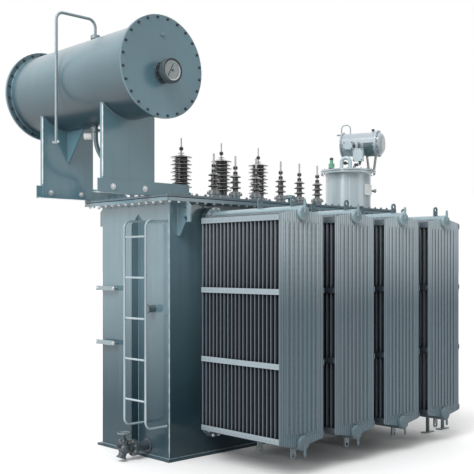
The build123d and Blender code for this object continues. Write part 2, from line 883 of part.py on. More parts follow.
hv_base_top = cover_top + hv_riser_height + hv_base_thickness + hv_clamp_height
hv_radii = [hv_small_shed_radius if i % 2 else hv_shed_radius for i in range(hv_shed_count)]
hv_first_z = cover_top + hv_first_shed_z
hv_top = hv_first_z + (hv_shed_count - 1) * hv_shed_pitch + shed_rim + shed_slope + shed_top_gap
hv_bases = [(hv_riser_radius, hv_riser_height), (hv_base_radius, hv_base_thickness), (hv_clamp_radius, hv_clamp_height)]
hv_points = [(left_x + x, hv_y) for x in hv_xs]
lv_base_top = cover_top + lv_riser_height + lv_base_thickness + lv_clamp_height
lv_radii = [lv_shed_radius] * lv_shed_count
lv_first_z = cover_top + lv_first_shed_z
lv_top = lv_first_z + (lv_shed_count - 1) * lv_shed_pitch + shed_rim + shed_slope + shed_top_gap
lv_bases = [(lv_riser_radius, lv_riser_height), (lv_base_radius, lv_base_thickness), (lv_clamp_radius, lv_clamp_height)]
lv_points = [(left_x + x, lv_y) for x in lv_xs]

for label, points, steps in (("hv_bushing_bases", hv_points, hv_bases), ("lv_bushing_bases", lv_points, lv_bases)):
    with BuildPart() as bases:
        for x, y in points:
            level = cover_top
            for radius, height in steps:
                with BuildSketch(Plane((x, y, level))):
                    Circle(radius)
                extrude(amount=height)
                level += height
    save(bases, label)

with BuildPart() as hv_bushings:
    for x, y in hv_points:
        profile = porcelain_profile(x, y, hv_base_top, hv_first_z, hv_radii, hv_core_radius, hv_shed_pitch)
        revolve(profile, axis=Axis((x, y, 0), (0, 0, 1)))
save(hv_bushings, "hv_bushings")

with BuildPart() as lv_bushings:
    for x, y in lv_points:
        profile = porcelain_profile(x, y, lv_base_top, lv_first_z, lv_radii, lv_core_radius, lv_shed_pitch)
        revolve(profile, axis=Axis((x, y, 0), (0, 0, 1)))
save(lv_bushings, "lv_bushings")

with BuildPart() as hv_terminals:
    for x, y in hv_points:
        with BuildSketch(Plane((x, y, hv_top))):
            Circle(hv_spindle_radius)
        extrude(amount=hv_ball_rise)
        with BuildSketch(Plane((x, y, hv_top + hv_collar_rise))):
            Circle(hv_collar_radius)
        extrude(amount=hv_collar_height)
        with Locations((x, y, hv_top + hv_ball_rise)):
            Sphere(hv_ball_radius)
        with BuildSketch(Plane((x, y, hv_top + hv_ball_rise))):
            Circle(hv_rod_radius)
        extrude(amount=hv_rod_height)
save(hv_terminals, "hv_terminals")

with BuildPart() as lv_terminals:
    for x, y in lv_points:
        with BuildSketch(Plane((x, y, lv_top))):
            Circle(lv_rod_radius)
        extrude(amount=lv_rod_height)
        for height, rise in zip(lv_block_heights, lv_block_rises):
            with BuildSketch(Plane((x, y, lv_top + rise))):
                Rectangle(lv_block_size, lv_block_size)
            extrude(amount=height)
save(lv_terminals, "lv_terminals")

# Tap changer turret: a drum with a flange, a dark joint and a flat lid
turret_centre_x = left_x + turret_x
turret_top = cover_top + turret_height
turret_plane = Plane((turret_centre_x, turret_y, 0))
with BuildPart() as turret:
    with BuildSketch(turret_plane.offset(cover_top)):
        Circle(turret_radius)
    extrude(amount=turret_height)
    with BuildSketch(turret_plane.offset(turret_top - turret_flange_thickness)):
        Circle(turret_flange_radius)
    extrude(amount=turret_flange_thickness)
save(turret, "turret")

lid_bottom = turret_top + turret_joint_gap
lid_top = lid_bottom + turret_flange_thickness
with BuildPart() as turret_joint:
    with BuildSketch(turret_plane.offset(turret_top)):
        Circle(turret_flange_radius - turret_joint_inset)
    extrude(amount=turret_joint_gap)
save(turret_joint, "turret_joint")

with BuildPart() as turret_lid:
    with BuildSketch(turret_plane.offset(lid_bottom)):
        Circle(turret_flange_radius)
    extrude(amount=turret_flange_thickness)
save(turret_lid, "turret_lid")

# Small oil drum: these planes stand on its turned axis
across_dir = Vector(1, 0, 0).rotate(Axis.Z, tap_drum_turn)
reach_dir = Vector(0, -1, 0).rotate(Axis.Z, tap_drum_turn)


def tap_point(reach, across, z):
    """A point by its reach along the small drum's axis, how far it lies across it, and its height."""
    return Vector(turret_centre_x, turret_y, z) + reach_dir * reach - across_dir * across


def tap_level(reach, across, z):
    """A level plane at such a point, its own X across the drum and its own Y against the reach."""
    return Plane(tap_point(reach, across, z), x_dir=across_dir, z_dir=(0, 0, 1))


def tap_square(reach, z=0):
    """A plane square to the drum's axis, facing along the reach, its own Y up."""
    return Plane(tap_point(reach, 0, z), x_dir=across_dir, z_dir=reach_dir)


def tap_along(across):
    """An upright plane along the drum's axis: its own X is the reach and its own Y the height."""
    return Plane(tap_point(0, across, 0), x_dir=reach_dir, z_dir=-across_dir)


def pipe_along(line, radius):
    """A round bar swept along a finished line."""
    with BuildPart() as pipe:
        with BuildSketch(Plane(line @ 0, z_dir=line % 0)):
            Circle(radius)
        sweep(path=line)
    return pipe.part


tap_drum_end = tap_drum_reach + tap_drum_length
tap_drum_top = tap_drum_z + tap_drum_radius
tap_relay_top = tap_relay_base_z + tap_relay_height
with BuildPart() as tap_drum:
    with BuildSketch(tap_square(tap_drum_reach, tap_drum_z)):
        Circle(tap_drum_radius)
    extrude(amount=tap_drum_length)
    for reach, plates in ((tap_drum_reach, 1), (tap_drum_end - 2 * tap_flange_thickness, 2)):
        with BuildSketch(tap_square(reach, tap_drum_z)):
            Circle(tap_flange_radius)
        extrude(amount=plates * tap_flange_thickness)
    with BuildSketch(tap_square(tap_drum_end, tap_drum_z)):
        Circle(tap_dome_radius)
    extrude(amount=tap_dome_rise)
    dome_face = tap_drum.faces().sort_by(Axis((0, 0, 0), reach_dir))[-1]
    fillet(dome_face.edges(), radius=tap_dome_fillet)
    with BuildSketch(tap_level(tap_filler_reach, 0, tap_drum_z)):
        Circle(tap_filler_radius)
    extrude(amount=tap_drum_radius + tap_filler_height)
    with BuildLine(tap_square(tap_feed_reach)) as feed_line:
        FilletPolyline(
            (-tap_relay_across, tap_relay_top),
            (-tap_relay_across, tap_drum_z),
            (0, tap_drum_z),
            radius=tap_feed_bend,
        )
    add(pipe_along(feed_line.line, tap_feed_radius))
    vent_start, vent_end = tap_vent_reaches
    with BuildLine(tap_along(0)) as vent_line:
        FilletPolyline(
            (vent_start, tap_drum_z),
            (vent_start, tap_drum_top + tap_vent_rise),
            (vent_end, tap_drum_top + tap_vent_rise),
            (vent_end, tap_drum_z + tap_stub_rise),
            radius=tap_vent_bend,
        )
    add(pipe_along(vent_line.line, tap_vent_radius))
    with BuildSketch(tap_square(tap_drum_reach, tap_drum_z + tap_stub_rise)):
        Circle(tap_stub_radius)
    extrude(amount=-tap_stub_length)
save(tap_drum, "tap_drum")

with BuildPart() as tap_saddle:
    with BuildSketch(tap_square(tap_cradle_reach, tap_drum_z)):
        Circle(tap_drum_radius + saddle_clearance + tap_cradle_wall)
        Circle(tap_drum_radius + saddle_clearance, mode=Mode.SUBTRACT)
        with Locations((0, tap_drum_radius)):
            Rectangle(3 * tap_drum_radius, 2 * tap_drum_radius, mode=Mode.SUBTRACT)
    extrude(amount=tap_cradle_length)
    cradle_end = tap_cradle_reach + tap_cradle_length
    leg_top = tap_drum_z - tap_drum_radius - saddle_clearance - tap_cradle_wall / 2
    with BuildSketch(tap_along(0)):
        for reach, lean in ((tap_cradle_reach, 1), (cradle_end, -1)):
            Polygon(
                (reach, leg_top),
                (reach + lean * tap_leg_thickness, leg_top),
                (reach + lean * (tap_leg_lean + tap_leg_thickness), lid_top),
                (reach + lean * tap_leg_lean, lid_top),
                align=None,
            )
    extrude(amount=tap_leg_width / 2, both=True)
save(tap_saddle, "tap_saddle")

# Relay beside the drum, its drain pipe and the gooseneck on the lid
with BuildPart() as tap_relay:
    with BuildSketch(tap_level(tap_relay_reach, tap_relay_across, tap_relay_base_z)):
        RectangleRounded(tap_relay_depth, tap_relay_length, tap_relay_fillet)
    extrude(amount=tap_relay_height)
save(tap_relay, "tap_relay")

with BuildPart() as tap_pipes:
    pipe_start, pipe_end = tap_drain_pipe_reaches
    with BuildLine(tap_along(tap_relay_across)) as drain_line:
        FilletPolyline(
            (pipe_start, tap_relay_base_z),
            (pipe_start, tap_relay_base_z - tap_drain_pipe_drop),
            (pipe_end, tap_relay_base_z - tap_drain_pipe_drop),
            (pipe_end, lid_top),
            radius=tap_drain_pipe_bend,
        )
    add(pipe_along(drain_line.line, tap_drain_pipe_radius))
    neck_start, neck_end = tap_gooseneck_reaches
    with BuildLine(tap_along(tap_relay_across)) as neck_line:
        FilletPolyline(
            (neck_start, lid_top),
            (neck_start, lid_top + tap_gooseneck_height),
            (neck_end, lid_top + tap_gooseneck_height),
            (neck_end, lid_top),
            radius=tap_gooseneck_bend,
        )
    add(pipe_along(neck_line.line, tap_gooseneck_radius))
    for reach in tap_gooseneck_reaches:
        with BuildSketch(tap_level(reach, tap_relay_across, lid_top)):
            Circle(tap_pipe_flange_radius)
        extrude(amount=tap_pipe_flange_thickness)
save(tap_pipes, "tap_pipes")

# Terminal box on the drum's side, its back cut to the shell
with BuildPart() as tap_box:
    with BuildSketch(tap_level(tap_box_reach, tap_box_front / 2, tap_box_z - tap_box_height / 2)):
        RectangleRounded(tap_box_front, tap_box_length, tap_box_fillet)
    extrude(amount=tap_box_height)
    with BuildSketch(tap_square(tap_drum_reach, tap_drum_z)):
        Circle(tap_drum_radius + saddle_clearance)
        with Locations((tap_drum_radius, 0)):
            Rectangle(2 * tap_drum_radius, 2 * tap_drum_radius)
    extrude(amount=tap_drum_length, mode=Mode.SUBTRACT)
save(tap_box, "tap_box")

# Small breather on the lid
with BuildPart() as tap_breather:
    breather_offset_x, breather_offset_y = tap_breather_xy
    level = lid_top
    for radius, height in tap_breather_stages:
        with BuildSketch(turret_plane.offset(level)):
            with Locations((breather_offset_x, breather_offset_y)):
                Circle(radius)
        extrude(amount=height)
        level += height
save(tap_breather, "tap_breather")
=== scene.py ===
"""Power transformer with panel radiators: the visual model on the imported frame. Lengths in metres."""
import bmesh
import bpy
import math
import numpy as np
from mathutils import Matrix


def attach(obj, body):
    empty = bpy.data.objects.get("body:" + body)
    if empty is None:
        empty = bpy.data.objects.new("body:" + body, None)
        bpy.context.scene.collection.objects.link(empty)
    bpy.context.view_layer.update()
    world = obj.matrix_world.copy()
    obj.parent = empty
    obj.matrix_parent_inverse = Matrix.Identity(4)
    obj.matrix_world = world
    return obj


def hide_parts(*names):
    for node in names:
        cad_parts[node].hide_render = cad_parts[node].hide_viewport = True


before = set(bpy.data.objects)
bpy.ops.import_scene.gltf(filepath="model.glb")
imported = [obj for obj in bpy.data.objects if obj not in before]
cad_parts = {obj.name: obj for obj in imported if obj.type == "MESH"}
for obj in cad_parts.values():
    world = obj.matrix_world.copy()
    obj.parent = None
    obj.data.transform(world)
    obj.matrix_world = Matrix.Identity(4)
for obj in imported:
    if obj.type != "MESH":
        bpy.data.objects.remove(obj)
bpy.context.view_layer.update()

# Camera, studio floor and light
# The picture is taken level at eye height with the lens shifted up. The floor is one pale sheet,
# and the sky is white behind the object and overhead and falls off to dark behind the camera.
scene = bpy.context.scene
scene.view_settings.view_transform = "Standard"
camera_data = bpy.data.cameras.new("camera")
camera_data.lens = 66.23
camera_data.sensor_width = 36.0
camera_data.shift_y = 0.0600
camera = bpy.data.objects.new("camera", camera_data)
camera.location = (-6.1845, -6.3052, 1.6788)
camera.rotation_euler = (math.radians(90.0), 0.0, math.radians(-43.456))
scene.collection.objects.link(camera)
scene.camera = camera


def node(tree, kind, inputs=None, **settings):
    """A shader node with its settings, each input given a value or linked to a socket."""
    made = tree.nodes.new("ShaderNode" + kind)
    for name, setting in settings.items():
        setattr(made, name, setting)
    for name, value in (inputs or {}).items():
        if isinstance(value, bpy.types.NodeSocket):
            tree.links.new(value, made.inputs[name])
        else:
            made.inputs[name].default_value = value
    return made


def remap(tree, value, start, stop, low=0.0, high=1.0, curve="LINEAR"):
    """A number that goes from low to high as the value goes from start to stop."""
    inputs = {"Value": value, "From Min": start, "From Max": stop, "To Min": low, "To Max": high}
    return node(tree, "MapRange", inputs, interpolation_type=curve).outputs["Result"]


def reckon(tree, operation, *values):
    """The result of one sum on numbers or sockets."""
    return node(tree, "Math", dict(enumerate(values)), operation=operation).outputs[0]


def blend(tree, share, first, second, how="MIX"):
    """A colour that goes from the first to the second as the share goes from 0 to 1."""
    ends = [end if isinstance(end, bpy.types.NodeSocket) else (*end, 1.0) for end in (first, second)]
    mix = {"Factor": share, "A": ends[0], "B": ends[1]}
    return node(tree, "Mix", mix, data_type="RGBA", blend_type=how).outputs["Result"]


def feed(tree, sockets):
    """Link sockets to the named inputs of the tree's shader."""
    for name, socket in sockets.items():
        tree.links.new(socket, tree.nodes["Principled BSDF"].inputs[name])


world = bpy.data.worlds.new("studio")
scene.world = world
world.use_nodes = True
sky = world.node_tree
sky_way = node(sky, "TexCoord").outputs["Generated"]
sky_bright_way = (-0.2, 0.75, 0.63)
sky_slope = node(sky, "VectorMath", {0: sky_way, 1: sky_bright_way}, operation="DOT_PRODUCT").outputs["Value"]
sky_tone = remap(sky, sky_slope, -0.55, 0.20, low=0.20, high=1.0, curve="SMOOTHSTEP")
sky.links.new(sky_tone, sky.nodes["Background"].inputs["Color"])

sun_data = bpy.data.lights.new("sun", "SUN")
sun_data.energy = 1.5
sun_data.angle = math.radians(30.0)
sun = bpy.data.objects.new("sun", sun_data)
sun.rotation_euler = (math.radians(40.0), 0.0, math.radians(-70.0))
scene.collection.objects.link(sun)

panel_lights = (
    ("panel_left", (-9.0, -1.0, 5.5), (-1.5, 0.0, 1.2), 5.0, 260.0),
    ("panel_front", (4.0, -9.5, 4.5), (0.0, -1.6, 1.2), 5.0, 80.0),
)
for name, place, aim, size, power in panel_lights:
    lamp_data = bpy.data.lights.new(name, "AREA")
    lamp_data.size = size
    lamp_data.energy = power
    lamp = bpy.data.objects.new(name, lamp_data)
    aim_turn = np.arctan2(aim[1] - place[1], aim[0] - place[0])
    aim_drop = np.arctan2(place[2] - aim[2], np.hypot(aim[0] - place[0], aim[1] - place[1]))
    lamp.location = place
    lamp.rotation_euler = (math.pi / 2 - aim_drop, 0.0, aim_turn - math.pi / 2)
    scene.collection.objects.link(lamp)

bpy.ops.mesh.primitive_plane_add(size=400.0, location=(0.0, 0.0, 0.0))
floor = bpy.context.object
floor.name = "floor"
floor_material = bpy.data.materials.new("floor")
floor_material.use_nodes = True
floor_tree = floor_material.node_tree
floor_tree.nodes["Principled BSDF"].inputs["Roughness"].default_value = 0.7
rays = node(floor_tree, "LightPath").outputs
camera_or_glossy = reckon(floor_tree, "MAXIMUM", rays["Is Camera Ray"], rays["Is Glossy Ray"])
seen = reckon(floor_tree, "MAXIMUM", camera_or_glossy, rays["Is Transmission Ray"])
feed(floor_tree, {"Base Color": blend(floor_tree, seen, (0.38, 0.38, 0.38), (0.93, 0.93, 0.93))})
floor.data.materials.append(floor_material)

# Foot plate, tank and rim
# The tank is a box of welded steel plate on a thin foot plate, with a flat rim welded round its top.
# It is sprayed with a high-gloss blue-grey enamel that mirrors what stands near it.
tank_x, tank_y = 1.48, 0.5
foot_top = 0.02
rim_z = 2.224
stiffener_y = -0.062
stiffener_low, stiffener_high = 0.03, 2.13
dust_grey = (0.10, 0.125, 0.135)


def paint(name, colour, roughness, coat, ripple, dirt=0.35, streak_scale=7.0, coat_ior=1.5, coat_blur=0.06,
          shade=0.0, shade_colour=(0.018, 0.046, 0.064), shade_span=(2.05, 0.25)):
    """Sprayed enamel: colour drifts with broad noise and darkens towards the ground by shade, a painted
    shade; thin upright streaks and a low band of dust dull it, and its surface waves with the plate under it."""
    material = bpy.data.materials.new(name)
    material.use_nodes = True
    tree = material.node_tree
    shader = tree.nodes["Principled BSDF"]
    shader.inputs["Coat Weight"].default_value = coat
    shader.inputs["Coat Roughness"].default_value = coat_blur
    shader.inputs["Coat IOR"].default_value = coat_ior
    place = node(tree, "TexCoord").outputs["Object"]
    height = node(tree, "SeparateXYZ", {0: place}).outputs["Z"]
    broad = node(tree, "TexNoise", {"Vector": place, "Scale": 1.6, "Detail": 5.0}).outputs["Fac"]
    upright = node(tree, "Mapping", {"Vector": place, "Scale": (streak_scale, streak_scale, 0.45)}).outputs[0]
    streaks = node(tree, "TexNoise", {"Vector": upright, "Scale": 2.4, "Detail": 6.0}).outputs["Fac"]
    low_dust = reckon(tree, "MULTIPLY", remap(tree, height, 0.42, 0.0, high=0.45), broad)
    grime = reckon(tree, "MAXIMUM", remap(tree, streaks, 0.52, 0.78, high=dirt), low_dust)
    tone = blend(tree, broad, [c * 0.78 for c in colour], [min(1.0, c * 1.24) for c in colour])
    # Painted shade: the colour is darkened towards the ground by shade, standing in for the shade that falls
    # low on the paint.
    if shade:
        lowness = remap(tree, height, *shade_span, high=shade, curve="SMOOTHSTEP")
        tone = blend(tree, lowness, tone, shade_colour)
        shader.inputs["Specular IOR Level"].default_value = 0.2
        feed(tree, {"Coat Weight": reckon(tree, "MULTIPLY_ADD", lowness, -coat, coat)})
    edges = node(tree, "Bevel", {"Radius": 0.004}, samples=4).outputs[0]
    wave = {"Strength": ripple, "Distance": 0.03, "Height": broad, "Normal": edges}
    grain = node(tree, "TexNoise", {"Vector": place, "Scale": 170.0}).outputs["Fac"]
    waved = node(tree, "Bump", wave).outputs[0]
    peel = {"Strength": 0.08, "Distance": 0.002, "Height": grain, "Normal": waved}
    feed(tree, {
        "Base Color": blend(tree, grime, tone, dust_grey),
        "Roughness": reckon(tree, "MULTIPLY_ADD", grime, 0.45, roughness),
        "Normal": node(tree, "Bump", peel).outputs[0],
    })
    return material


def grid_faces(rows, columns, wrap):
    """Quads of a grid of points, rows by columns, closed round the columns where wrap is set."""
    row = np.arange(rows - 1)[:, None] * columns
    column = np.arange(columns if wrap else columns - 1)
    after = (column + 1) % columns
    corners = [row + column, row + after, row + columns + after, row + columns + column]
    return np.stack(corners, axis=-1).reshape(-1, 4)


def joined(shapes):
    """Several (points, faces) pairs as one."""
    starts = np.cumsum([0] + [len(points) for points, faces in shapes[:-1]])
    points = np.concatenate([shape[0] for shape in shapes])
    return points, np.concatenate([shape[1] + start for shape, start in zip(shapes, starts)])


def piece(name, shape, material):
    """A mesh object from points and quads, with its finish, that belongs to the fixed body."""
    points, faces = shape
    mesh = bpy.data.meshes.new(name)
    mesh.from_pydata(points.tolist(), [], faces.tolist())
    shell = bmesh.new()
    shell.from_mesh(mesh)
    bmesh.ops.remove_doubles(shell, verts=shell.verts, dist=1e-6)
    bmesh.ops.recalc_face_normals(shell, faces=shell.faces)
    shell.to_mesh(mesh)
    shell.free()
    mesh.shade_smooth()
    mesh.set_sharp_from_angle(angle=math.radians(35.0))
    thing = bpy.data.objects.new(name, mesh)
    scene.collection.objects.link(thing)
    thing.data.materials.append(material)
    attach(thing, "root")
    return thing


def finish_nodes(material, *names):
    """Give CAD nodes one finish."""
    for name in names:
        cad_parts[name].data.materials.clear()
        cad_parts[name].data.materials.append(material)


def weld_bead(corners, radius, side, pitch=0.006):
    """Ripple weld along a path: a half-round bar whose radius swells and dips along its length.
    At distance s and angle t its surface is path(s) + r(s) (cos t side + sin t up)."""
    corners = np.asarray(corners, float)
    lengths = np.linalg.norm(np.diff(corners, axis=0), axis=1)
    along = np.concatenate([[0.0], np.cumsum(lengths)])
    count = max(3, int(along[-1] / pitch))
    s = np.linspace(0.0, along[-1], count)
    path = np.stack([np.interp(s, along, corners[:, axis]) for axis in range(3)], axis=1)
    forward = np.gradient(path, axis=0)
    forward /= np.linalg.norm(forward, axis=1)[:, None]
    out = np.broadcast_to(np.asarray(side, float), forward.shape)
    up = np.cross(forward, out)
    up /= np.linalg.norm(up, axis=1)[:, None]
    swell = radius * (1.0 + 0.16 * np.sin(s * 260.0) + 0.10 * np.sin(s * 97.0 + 1.0))
    swell[[0, -1]] = 0.0
    t = np.linspace(0.0, 2 * np.pi, 8, endpoint=False)
    ring = np.cos(t)[None, :, None] * out[:, None, :] + np.sin(t)[None, :, None] * up[:, None, :]
    points = path[:, None, :] + swell[:, None, None] * ring
    return points.reshape(-1, 3), grid_faces(count, 8, True)


# The tank's enamel is darkened towards the foot plate by shade: painted shade.
tank_paint = paint("tank_paint", (0.15, 0.25, 0.295), roughness=0.16, coat=1.0, ripple=0.22, coat_ior=2.0,
                   coat_blur=0.13, shade=0.95)
finish_nodes(tank_paint, "foot_plate", "tank", "tank_rim", "end_stiffeners", "far_stiffeners", "lifting_lugs")
bead_paint = paint("bead_paint", (0.16, 0.24, 0.28), roughness=0.22, coat=0.6, ripple=0.0)
walls = [(-tank_x, -tank_y), (tank_x, -tank_y), (tank_x, tank_y), (-tank_x, tank_y), (-tank_x, -tank_y)]
tank_beads = [
    weld_bead([(x, y, foot_top) for x, y in walls], 0.007, (0, 0, 1), 0.012),
    weld_bead([(x, y, rim_z) for x, y in walls], 0.008, (0, 0, 1), 0.012),
]
for side in (-1, 1):
    for edge in (-1, 1):
        y = stiffener_y + edge * 0.005
        stiffener_run = [(side * tank_x, y, stiffener_low), (side * tank_x, y, stiffener_high)]
        tank_beads.append(weld_bead(stiffener_run, 0.005, (0, edge, 0)))
piece("tank_welds", joined(tank_beads), bead_paint)
# A pale bead up the tank's near corner, lighter than the tank's enamel: a painted highlight along the corner.
corner_highlight_paint = paint("corner_highlight_paint", (0.42, 0.52, 0.56), roughness=0.2, coat=0.8, ripple=0.0)
corner_run = [(-tank_x, -tank_y, foot_top), (-tank_x, -tank_y, rim_z)]
piece("tank_corner_highlight", weld_bead(corner_run, 0.005, (-0.7, -0.7, 0.0), 0.02), corner_highlight_paint)

# Cover, its gasket and its bolts
# The cover is a plain steel plate bolted all round through the rim, on a black rubber gasket that
# shows as a thin dark line. Galvanised bolts stand at 100 mm, with nuts above and heads below.
cover_top = 2.280
bolt_line_x, bolt_line_y = 1.572, 0.592
bolt_pitch = 0.1
lug_x = 1.377
beam_end_x = -1.15
near_beam_y, far_beam_y = -0.3525, 0.5325


def plain_finish(name, colour, roughness, metallic=0.0, speckle=0.25, scale=60.0):
    """A finish whose colour and roughness drift with fine noise, with a matching shallow bump."""
    material = bpy.data.materials.new(name)
    material.use_nodes = True
    tree = material.node_tree
    tree.nodes["Principled BSDF"].inputs["Metallic"].default_value = metallic
    place = node(tree, "TexCoord").outputs["Object"]
    noise = node(tree, "TexNoise", {"Vector": place, "Scale": scale, "Detail": 4.0}).outputs["Fac"]
    darker = [c * (1.0 - speckle) for c in colour]
    lighter = [min(1.0, c * (1.0 + speckle)) for c in colour]
    feed(tree, {
        "Base Color": blend(tree, noise, darker, lighter),
        "Roughness": reckon(tree, "MULTIPLY_ADD", noise, 0.2, roughness),
        "Normal": node(tree, "Bump", {"Strength": 0.2, "Distance": 0.001, "Height": noise}).outputs[0],
    })
    return material


def lathe(profile, segments):
    """Surface turned about Z: x = r cos t, y = r sin t, where the profile gives r and z in order and
    both its ends are closed on the axis."""
    profile = np.asarray(profile, float)
    poles = profile[[0, -1]] * (0.0, 1.0)
    radius, level = np.vstack([poles[:1], profile, poles[1:]]).T
    t = np.linspace(0.0, 2 * np.pi, segments, endpoint=False)
    around = np.stack([np.cos(t), np.sin(t)], axis=1)
    flat = radius[:, None, None] * around[None]
    points = np.concatenate([flat, np.broadcast_to(level[:, None, None], (len(level), segments, 1))], axis=2)
    return points.reshape(-1, 3), grid_faces(len(radius), segments, True)


def copies(shape, places, directions):
    """One shape set at many places, its own Z turned to the direction of each: a point goes to
    place + x side + y up + z direction."""
    points, faces = shape
    places = np.asarray(places, float).reshape(-1, 3)
    z = np.broadcast_to(np.asarray(directions, float), places.shape)
    z = z / np.linalg.norm(z, axis=1)[:, None]
    guide = np.where(np.abs(z[:, 2:]) > 0.9, np.array([1.0, 0.0, 0.0]), np.array([0.0, 0.0, 1.0]))
    x = np.cross(guide, z)
    x /= np.linalg.norm(x, axis=1)[:, None]
    axes = np.stack([x, np.cross(z, x), z], axis=1)
    count = len(places)
    all_faces = faces[None] + (np.arange(count) * len(points))[:, None, None]
    return (places[:, None] + points @ axes).reshape(-1, 3), all_faces.reshape(-1, 4)


def bolt_head(across, height, stud=0.0):
    """A hexagon head or nut on a washer, with the bolt's end standing out where stud is given."""
    r = across / 2
    washer = lathe([(0, 0), (r * 1.32, 0), (r * 1.32, height * 0.2), (0, height * 0.2)], 14)
    head = [(r, height * 0.2), (r, height * 0.92), (r * 0.86, height * 1.1), (0, height * 1.1)]
    shapes = [washer, lathe(head, 6)]
    if stud:
        tip = height * 1.1 + stud
        shapes.append(lathe([(r * 0.5, height), (r * 0.5, tip - 0.001), (r * 0.4, tip), (0, tip)], 8))
    return joined(shapes)


cover_paint = paint("cover_paint", (0.12, 0.18, 0.215), roughness=0.30, coat=0.5, ripple=0.1)
finish_nodes(cover_paint, "cover")
gasket_rubber = plain_finish("gasket_rubber", (0.006, 0.006, 0.006), 0.7)
finish_nodes(gasket_rubber, "cover_gasket")
galvanised = plain_finish("galvanised", (0.62, 0.64, 0.65), 0.28, metallic=0.8)
side_xs = np.arange(-bolt_line_x + 0.022, bolt_line_x, bolt_pitch)
end_ys = np.arange(-bolt_line_y + 0.092, bolt_line_y - 0.05, bolt_pitch)
side_spots = [(x, side * bolt_line_y) for side in (-1, 1) for x in side_xs]
end_spots = [(side * bolt_line_x, y) for side in (-1, 1) for y in end_ys]
spots = np.array(side_spots + end_spots)
by_beam = (np.abs(spots[:, 1] - near_beam_y) < 0.06) | (np.abs(spots[:, 1] - far_beam_y) < 0.056)
top_spots = spots[~(by_beam & (spots[:, 0] < beam_end_x))]
low_spots = spots[np.abs(np.abs(spots[:, 0]) - lug_x) > 0.03]
nuts = copies(bolt_head(0.026, 0.013, 0.006), np.c_[top_spots, np.full(len(top_spots), cover_top)], (0, 0, 1))
heads = copies(bolt_head(0.024, 0.012), np.c_[low_spots, np.full(len(low_spots), rim_z)], (0, 0, -1))
piece("cover_nuts", nuts, cover_paint)
piece("cover_heads", heads, galvanised)

vent_profile = [(0.030, 0.0), (0.030, 0.008), (0.017, 0.012), (0.017, 0.050), (0.044, 0.052)]
vent_profile += [(0.048, 0.056), (0.048, 0.078), (0.044, 0.084), (0.028, 0.089), (0.0, 0.090)]
vent = copies(lathe(vent_profile, 32), (0.074, -0.45, cover_top), (0, 0, 1))
piece("cover_vent", vent, plain_finish("vent_paint", (0.17, 0.24, 0.27), 0.35))

# Lifting lugs
# Thick flat plates welded to the wall and to the rim by each corner, with two shackle holes. The
# chamfered edges and the fillet welds catch the light.
lug_bottom = 1.934
lug_half = 0.008
lug_reach = 0.62
lug_beads = []
for end in (-1, 1):
    for side in (-1, 1):
        for face in (-1, 1):
            x = end * lug_x + face * lug_half
            wall_run = [(x, side * tank_y, lug_bottom), (x, side * tank_y, rim_z)]
            rim_run = [(x, side * tank_y, rim_z), (x, side * lug_reach, rim_z)]
            lug_beads.append(weld_bead(wall_run, 0.007, (face, 0, 0)))
            lug_beads.append(weld_bead(rim_run, 0.006, (face, 0, 0)))
piece("lug_welds", joined(lug_beads), bead_paint)

# Radiators
# Each radiator is twenty-one hollow panels pressed from thin sheet, seam-welded round their edges
# and butt-welded to two header pipes. Flat bars tack-welded across both sides tie the panels.
radiator_xs = np.array([-1.04, -0.371, 0.298, 0.967])
panel_ys = -0.715 - 0.045 * np.arange(21)
panel_low, panel_high = 0.278, 2.084
header_zs = (0.268, 2.094)
header_radius = 0.062
band_zs = np.linspace(0.3068, 2.0552, 4)
band_face = 0.2665
outer_face = -1.628
valve_bolt_circle = 0.084
plug_end_y = -1.658
plug_reach = 0.096


def fed(tree, name):
    """The socket that feeds a named input of the tree's shader."""
    return tree.nodes["Principled BSDF"].inputs[name].links[0].from_socket


def facing(tree, axis):
    """How far the surface faces along one axis, from -1 to 1."""
    return node(tree, "SeparateXYZ", {0: node(tree, "NewGeometry").outputs["Normal"]}).outputs[axis]


def shut_in_painted_shade(tree, reach, samples, start, stop, colour):
    """Painted shade where the surface is shut in by others within reach: the colour goes dark there.
    It is gone where the open share of its surroundings passes from start to stop."""
    openness = node(tree, "AmbientOcclusion", {"Distance": reach}, samples=samples).outputs["AO"]
    unshaded_share = remap(tree, openness, start, stop)
    feed(tree, {"Base Color": blend(tree, unshaded_share, colour, fed(tree, "Base Color"))})


def tack(radius, rise):
    """A small domed weld spot: height rise (1 - (r / radius)^2)."""
    r = np.linspace(radius, 0.0, 4)
    return lathe(np.c_[r, rise * (1.0 - (r / radius) ** 2)], 8)


def ring_places(centre, radius, count, across, up, start=0.0):
    """Points at even angles on a circle: centre + radius (cos t across + sin t up)."""
    t = start + np.arange(count) * 2 * np.pi / count
    across, up = np.asarray(across, float), np.asarray(up, float)
    return np.asarray(centre, float) + radius * (np.cos(t)[:, None] * across + np.sin(t)[:, None] * up)


# The fins' colour is pale at the top and darkens downwards by shade: a painted reflection of the sky on their
# tops over a painted shade below.
fin_paint = paint("fin_paint", (0.50, 0.60, 0.645), roughness=0.24, coat=0.6, ripple=0.05, dirt=0.45,
                  streak_scale=26.0, shade=0.93, shade_colour=(0.115, 0.185, 0.225), shade_span=(2.06, 1.26))
fin_tree = fin_paint.node_tree
rib_wave = {"Vector": node(fin_tree, "TexCoord").outputs["Object"], "Scale": 12.27, "Distortion": 0.15}
ribs = node(fin_tree, "TexWave", rib_wave, bands_direction="X").outputs["Fac"]
rib_shadow = remap(fin_tree, ribs, 0.0, 0.24, low=0.30)
ribbed = blend(fin_tree, 0.8, fed(fin_tree, "Base Color"), rib_shadow, "MULTIPLY")
